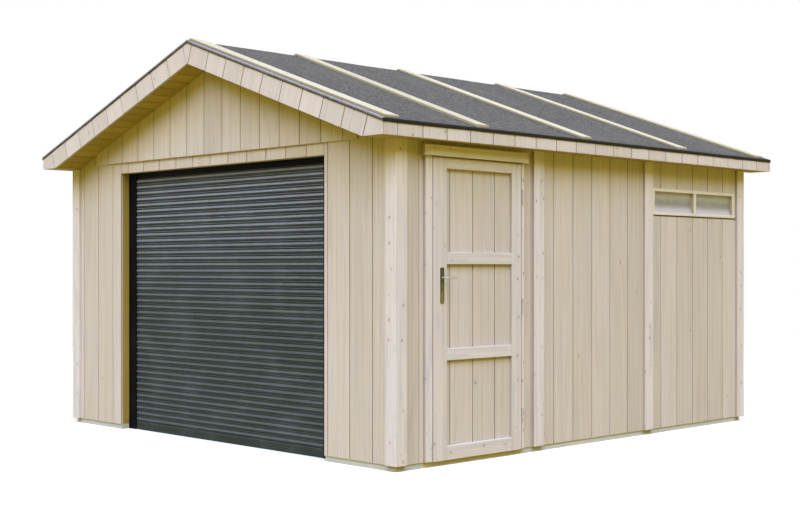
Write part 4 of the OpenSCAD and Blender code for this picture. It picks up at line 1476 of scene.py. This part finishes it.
class GARAGE_OT_stage(bpy.types.Operator):
    """Floor, light and camera"""

    bl_idname = "garage.stage"
    bl_label = "Stage"

    def execute(self, context):
        scene = context.scene
        self.floor()
        self.sky(scene)
        self.keys()
        self.camera(scene)
        scene.view_settings.view_transform = "Standard"
        return {"FINISHED"}

    @staticmethod
    def floor():
        bm = bmesh.new()
        bmesh.ops.create_circle(bm, cap_ends=True, radius=60.0, segments=96)
        mesh = bpy.data.meshes.new("floor")
        bm.to_mesh(mesh)
        bm.free()
        floor = linked("floor", mesh)
        material, tree, shader = finish_material("Pale floor", 0.9, specular=0.0)
        shown = white_to_the_eye(tree)
        c = colours()
        surface(tree, shader, mixed(tree, shown, solid(c.ground_glow), solid(c.floor)))
        distance = add(tree, "ShaderNodeVectorMath", {0: object_place(tree)}, operation="LENGTH")
        far = times(tree, ranged(tree, distance.outputs["Value"], 5.0, 12.0), shown)
        glow = add(tree, "ShaderNodeEmission", {"Color": (1.0, 1.0, 1.0, 1.0), "Strength": 1.0})
        blend = add(tree, "ShaderNodeMixShader", {0: far, 1: shader.outputs[0], 2: glow.outputs[0]})
        tree.links.new(blend.outputs[0], tree.nodes["Material Output"].inputs["Surface"])
        mesh.materials.append(material)

    @staticmethod
    def sky(scene):
        """Light from all round: dim and warm, and behind the building bright and cool low down."""
        world = bpy.data.worlds.new("Soft sky")
        scene.world = world
        world.use_nodes = True
        tree = world.node_tree
        tree.nodes.clear()
        out = tree.nodes.new("ShaderNodeOutputWorld")
        way = add(tree, "ShaderNodeTexCoord").outputs["Generated"]
        behind = add(tree, "ShaderNodeVectorMath", {0: way, 1: (-0.707, 0.707, 0.0)},
                     operation="DOT_PRODUCT")
        rise = part_of(tree, way, 2)
        rear = mixed(tree, ranged(tree, rise, 0.15, 0.6), (1.8, 2.1, 2.8, 1.0), (0.40, 0.40, 0.40, 1.0))
        turned = ranged(tree, behind.outputs["Value"], 0.2, 0.95)
        glow = mixed(tree, turned, (0.29, 0.215, 0.014, 1.0), rear)
        light = add(tree, "ShaderNodeBackground", {"Color": glow, "Strength": 1.0})
        back = add(tree, "ShaderNodeBackground", {"Color": (1.0, 1.0, 1.0, 1.0), "Strength": 1.0})
        shown = white_to_the_eye(tree)
        blend = add(tree, "ShaderNodeMixShader", {0: shown, 1: light.outputs[0], 2: back.outputs[0]})
        tree.links.new(blend.outputs[0], out.inputs["Surface"])

    @staticmethod
    def keys():
        """Wide soft lights on the front and on the door's side. Each is a warm and a cool light that
        together are white, the cool one higher up."""
        for name, energy, colour, turn, rise in (
            ("Front warm", 1.72, WARM, 9, 38), ("Front cool", 3.37, COOL, 9, 44),
            ("Side warm", 1.94, WARM, 72, 50), ("Side cool", 4.02, COOL, 72, 56),
        ):
            lamp = bpy.data.lights.new(name, "SUN")
            lamp.energy = energy
            lamp.angle = math.radians(46)
            lamp.color = colour
            turn, up = math.radians(turn), math.radians(rise)
            back = Vector((math.sin(turn) * math.cos(up), -math.cos(turn) * math.cos(up), math.sin(up)))
            holder = linked(name, lamp)
            holder.rotation_mode = "QUATERNION"
            holder.rotation_quaternion = back.to_track_quat("Z", "Y")
            holder.location = back * 12

    @staticmethod
    def camera(scene):
        lens = bpy.data.cameras.new("Camera")
        lens.sensor_width = 36.0
        lens.lens = 59.37
        lens.shift_x = -0.0277
        lens.shift_y = 0.0159
        lens.clip_end = 200.0
        holder = linked("Camera", lens)
        holder.location = (7.971, -7.806, 1.2957)
        holder.rotation_euler = (math.radians(90), 0, math.radians(45.108))
        scene.camera = holder


class GARAGE_PT_panel(bpy.types.Panel):
    """Lists the steps that dress the garage"""

    bl_idname = "GARAGE_PT_panel"
    bl_label = "Prefab garage"
    bl_space_type = "VIEW_3D"
    bl_region_type = "UI"
    bl_category = "Garage"

    def draw(self, context):
        for step in STEPS:
            self.layout.operator(step.bl_idname)


STEPS = (
    GARAGE_OT_cladding, GARAGE_OT_wall_frames, GARAGE_OT_planks, GARAGE_OT_roof_timbers,
    GARAGE_OT_fascias, GARAGE_OT_felt, GARAGE_OT_shutter, GARAGE_OT_side_door, GARAGE_OT_hardware,
    GARAGE_OT_window, GARAGE_OT_nails, GARAGE_OT_stage,
)
CLASSES = (GarageSizes, GarageColours, *STEPS, GARAGE_PT_panel)


def register():
    for item in CLASSES:
        bpy.utils.register_class(item)
    bpy.types.Scene.garage_sizes = bpy.props.PointerProperty(type=GarageSizes)
    bpy.types.Scene.garage_colours = bpy.props.PointerProperty(type=GarageColours)


def unregister():
    del bpy.types.Scene.garage_colours
    del bpy.types.Scene.garage_sizes
    for item in reversed(CLASSES):
        bpy.utils.unregister_class(item)


def main():
    register()
    for step in STEPS:
        group, name = step.bl_idname.split(".")
        getattr(getattr(bpy.ops, group), name)()


if __name__ == "__main__":
    main()
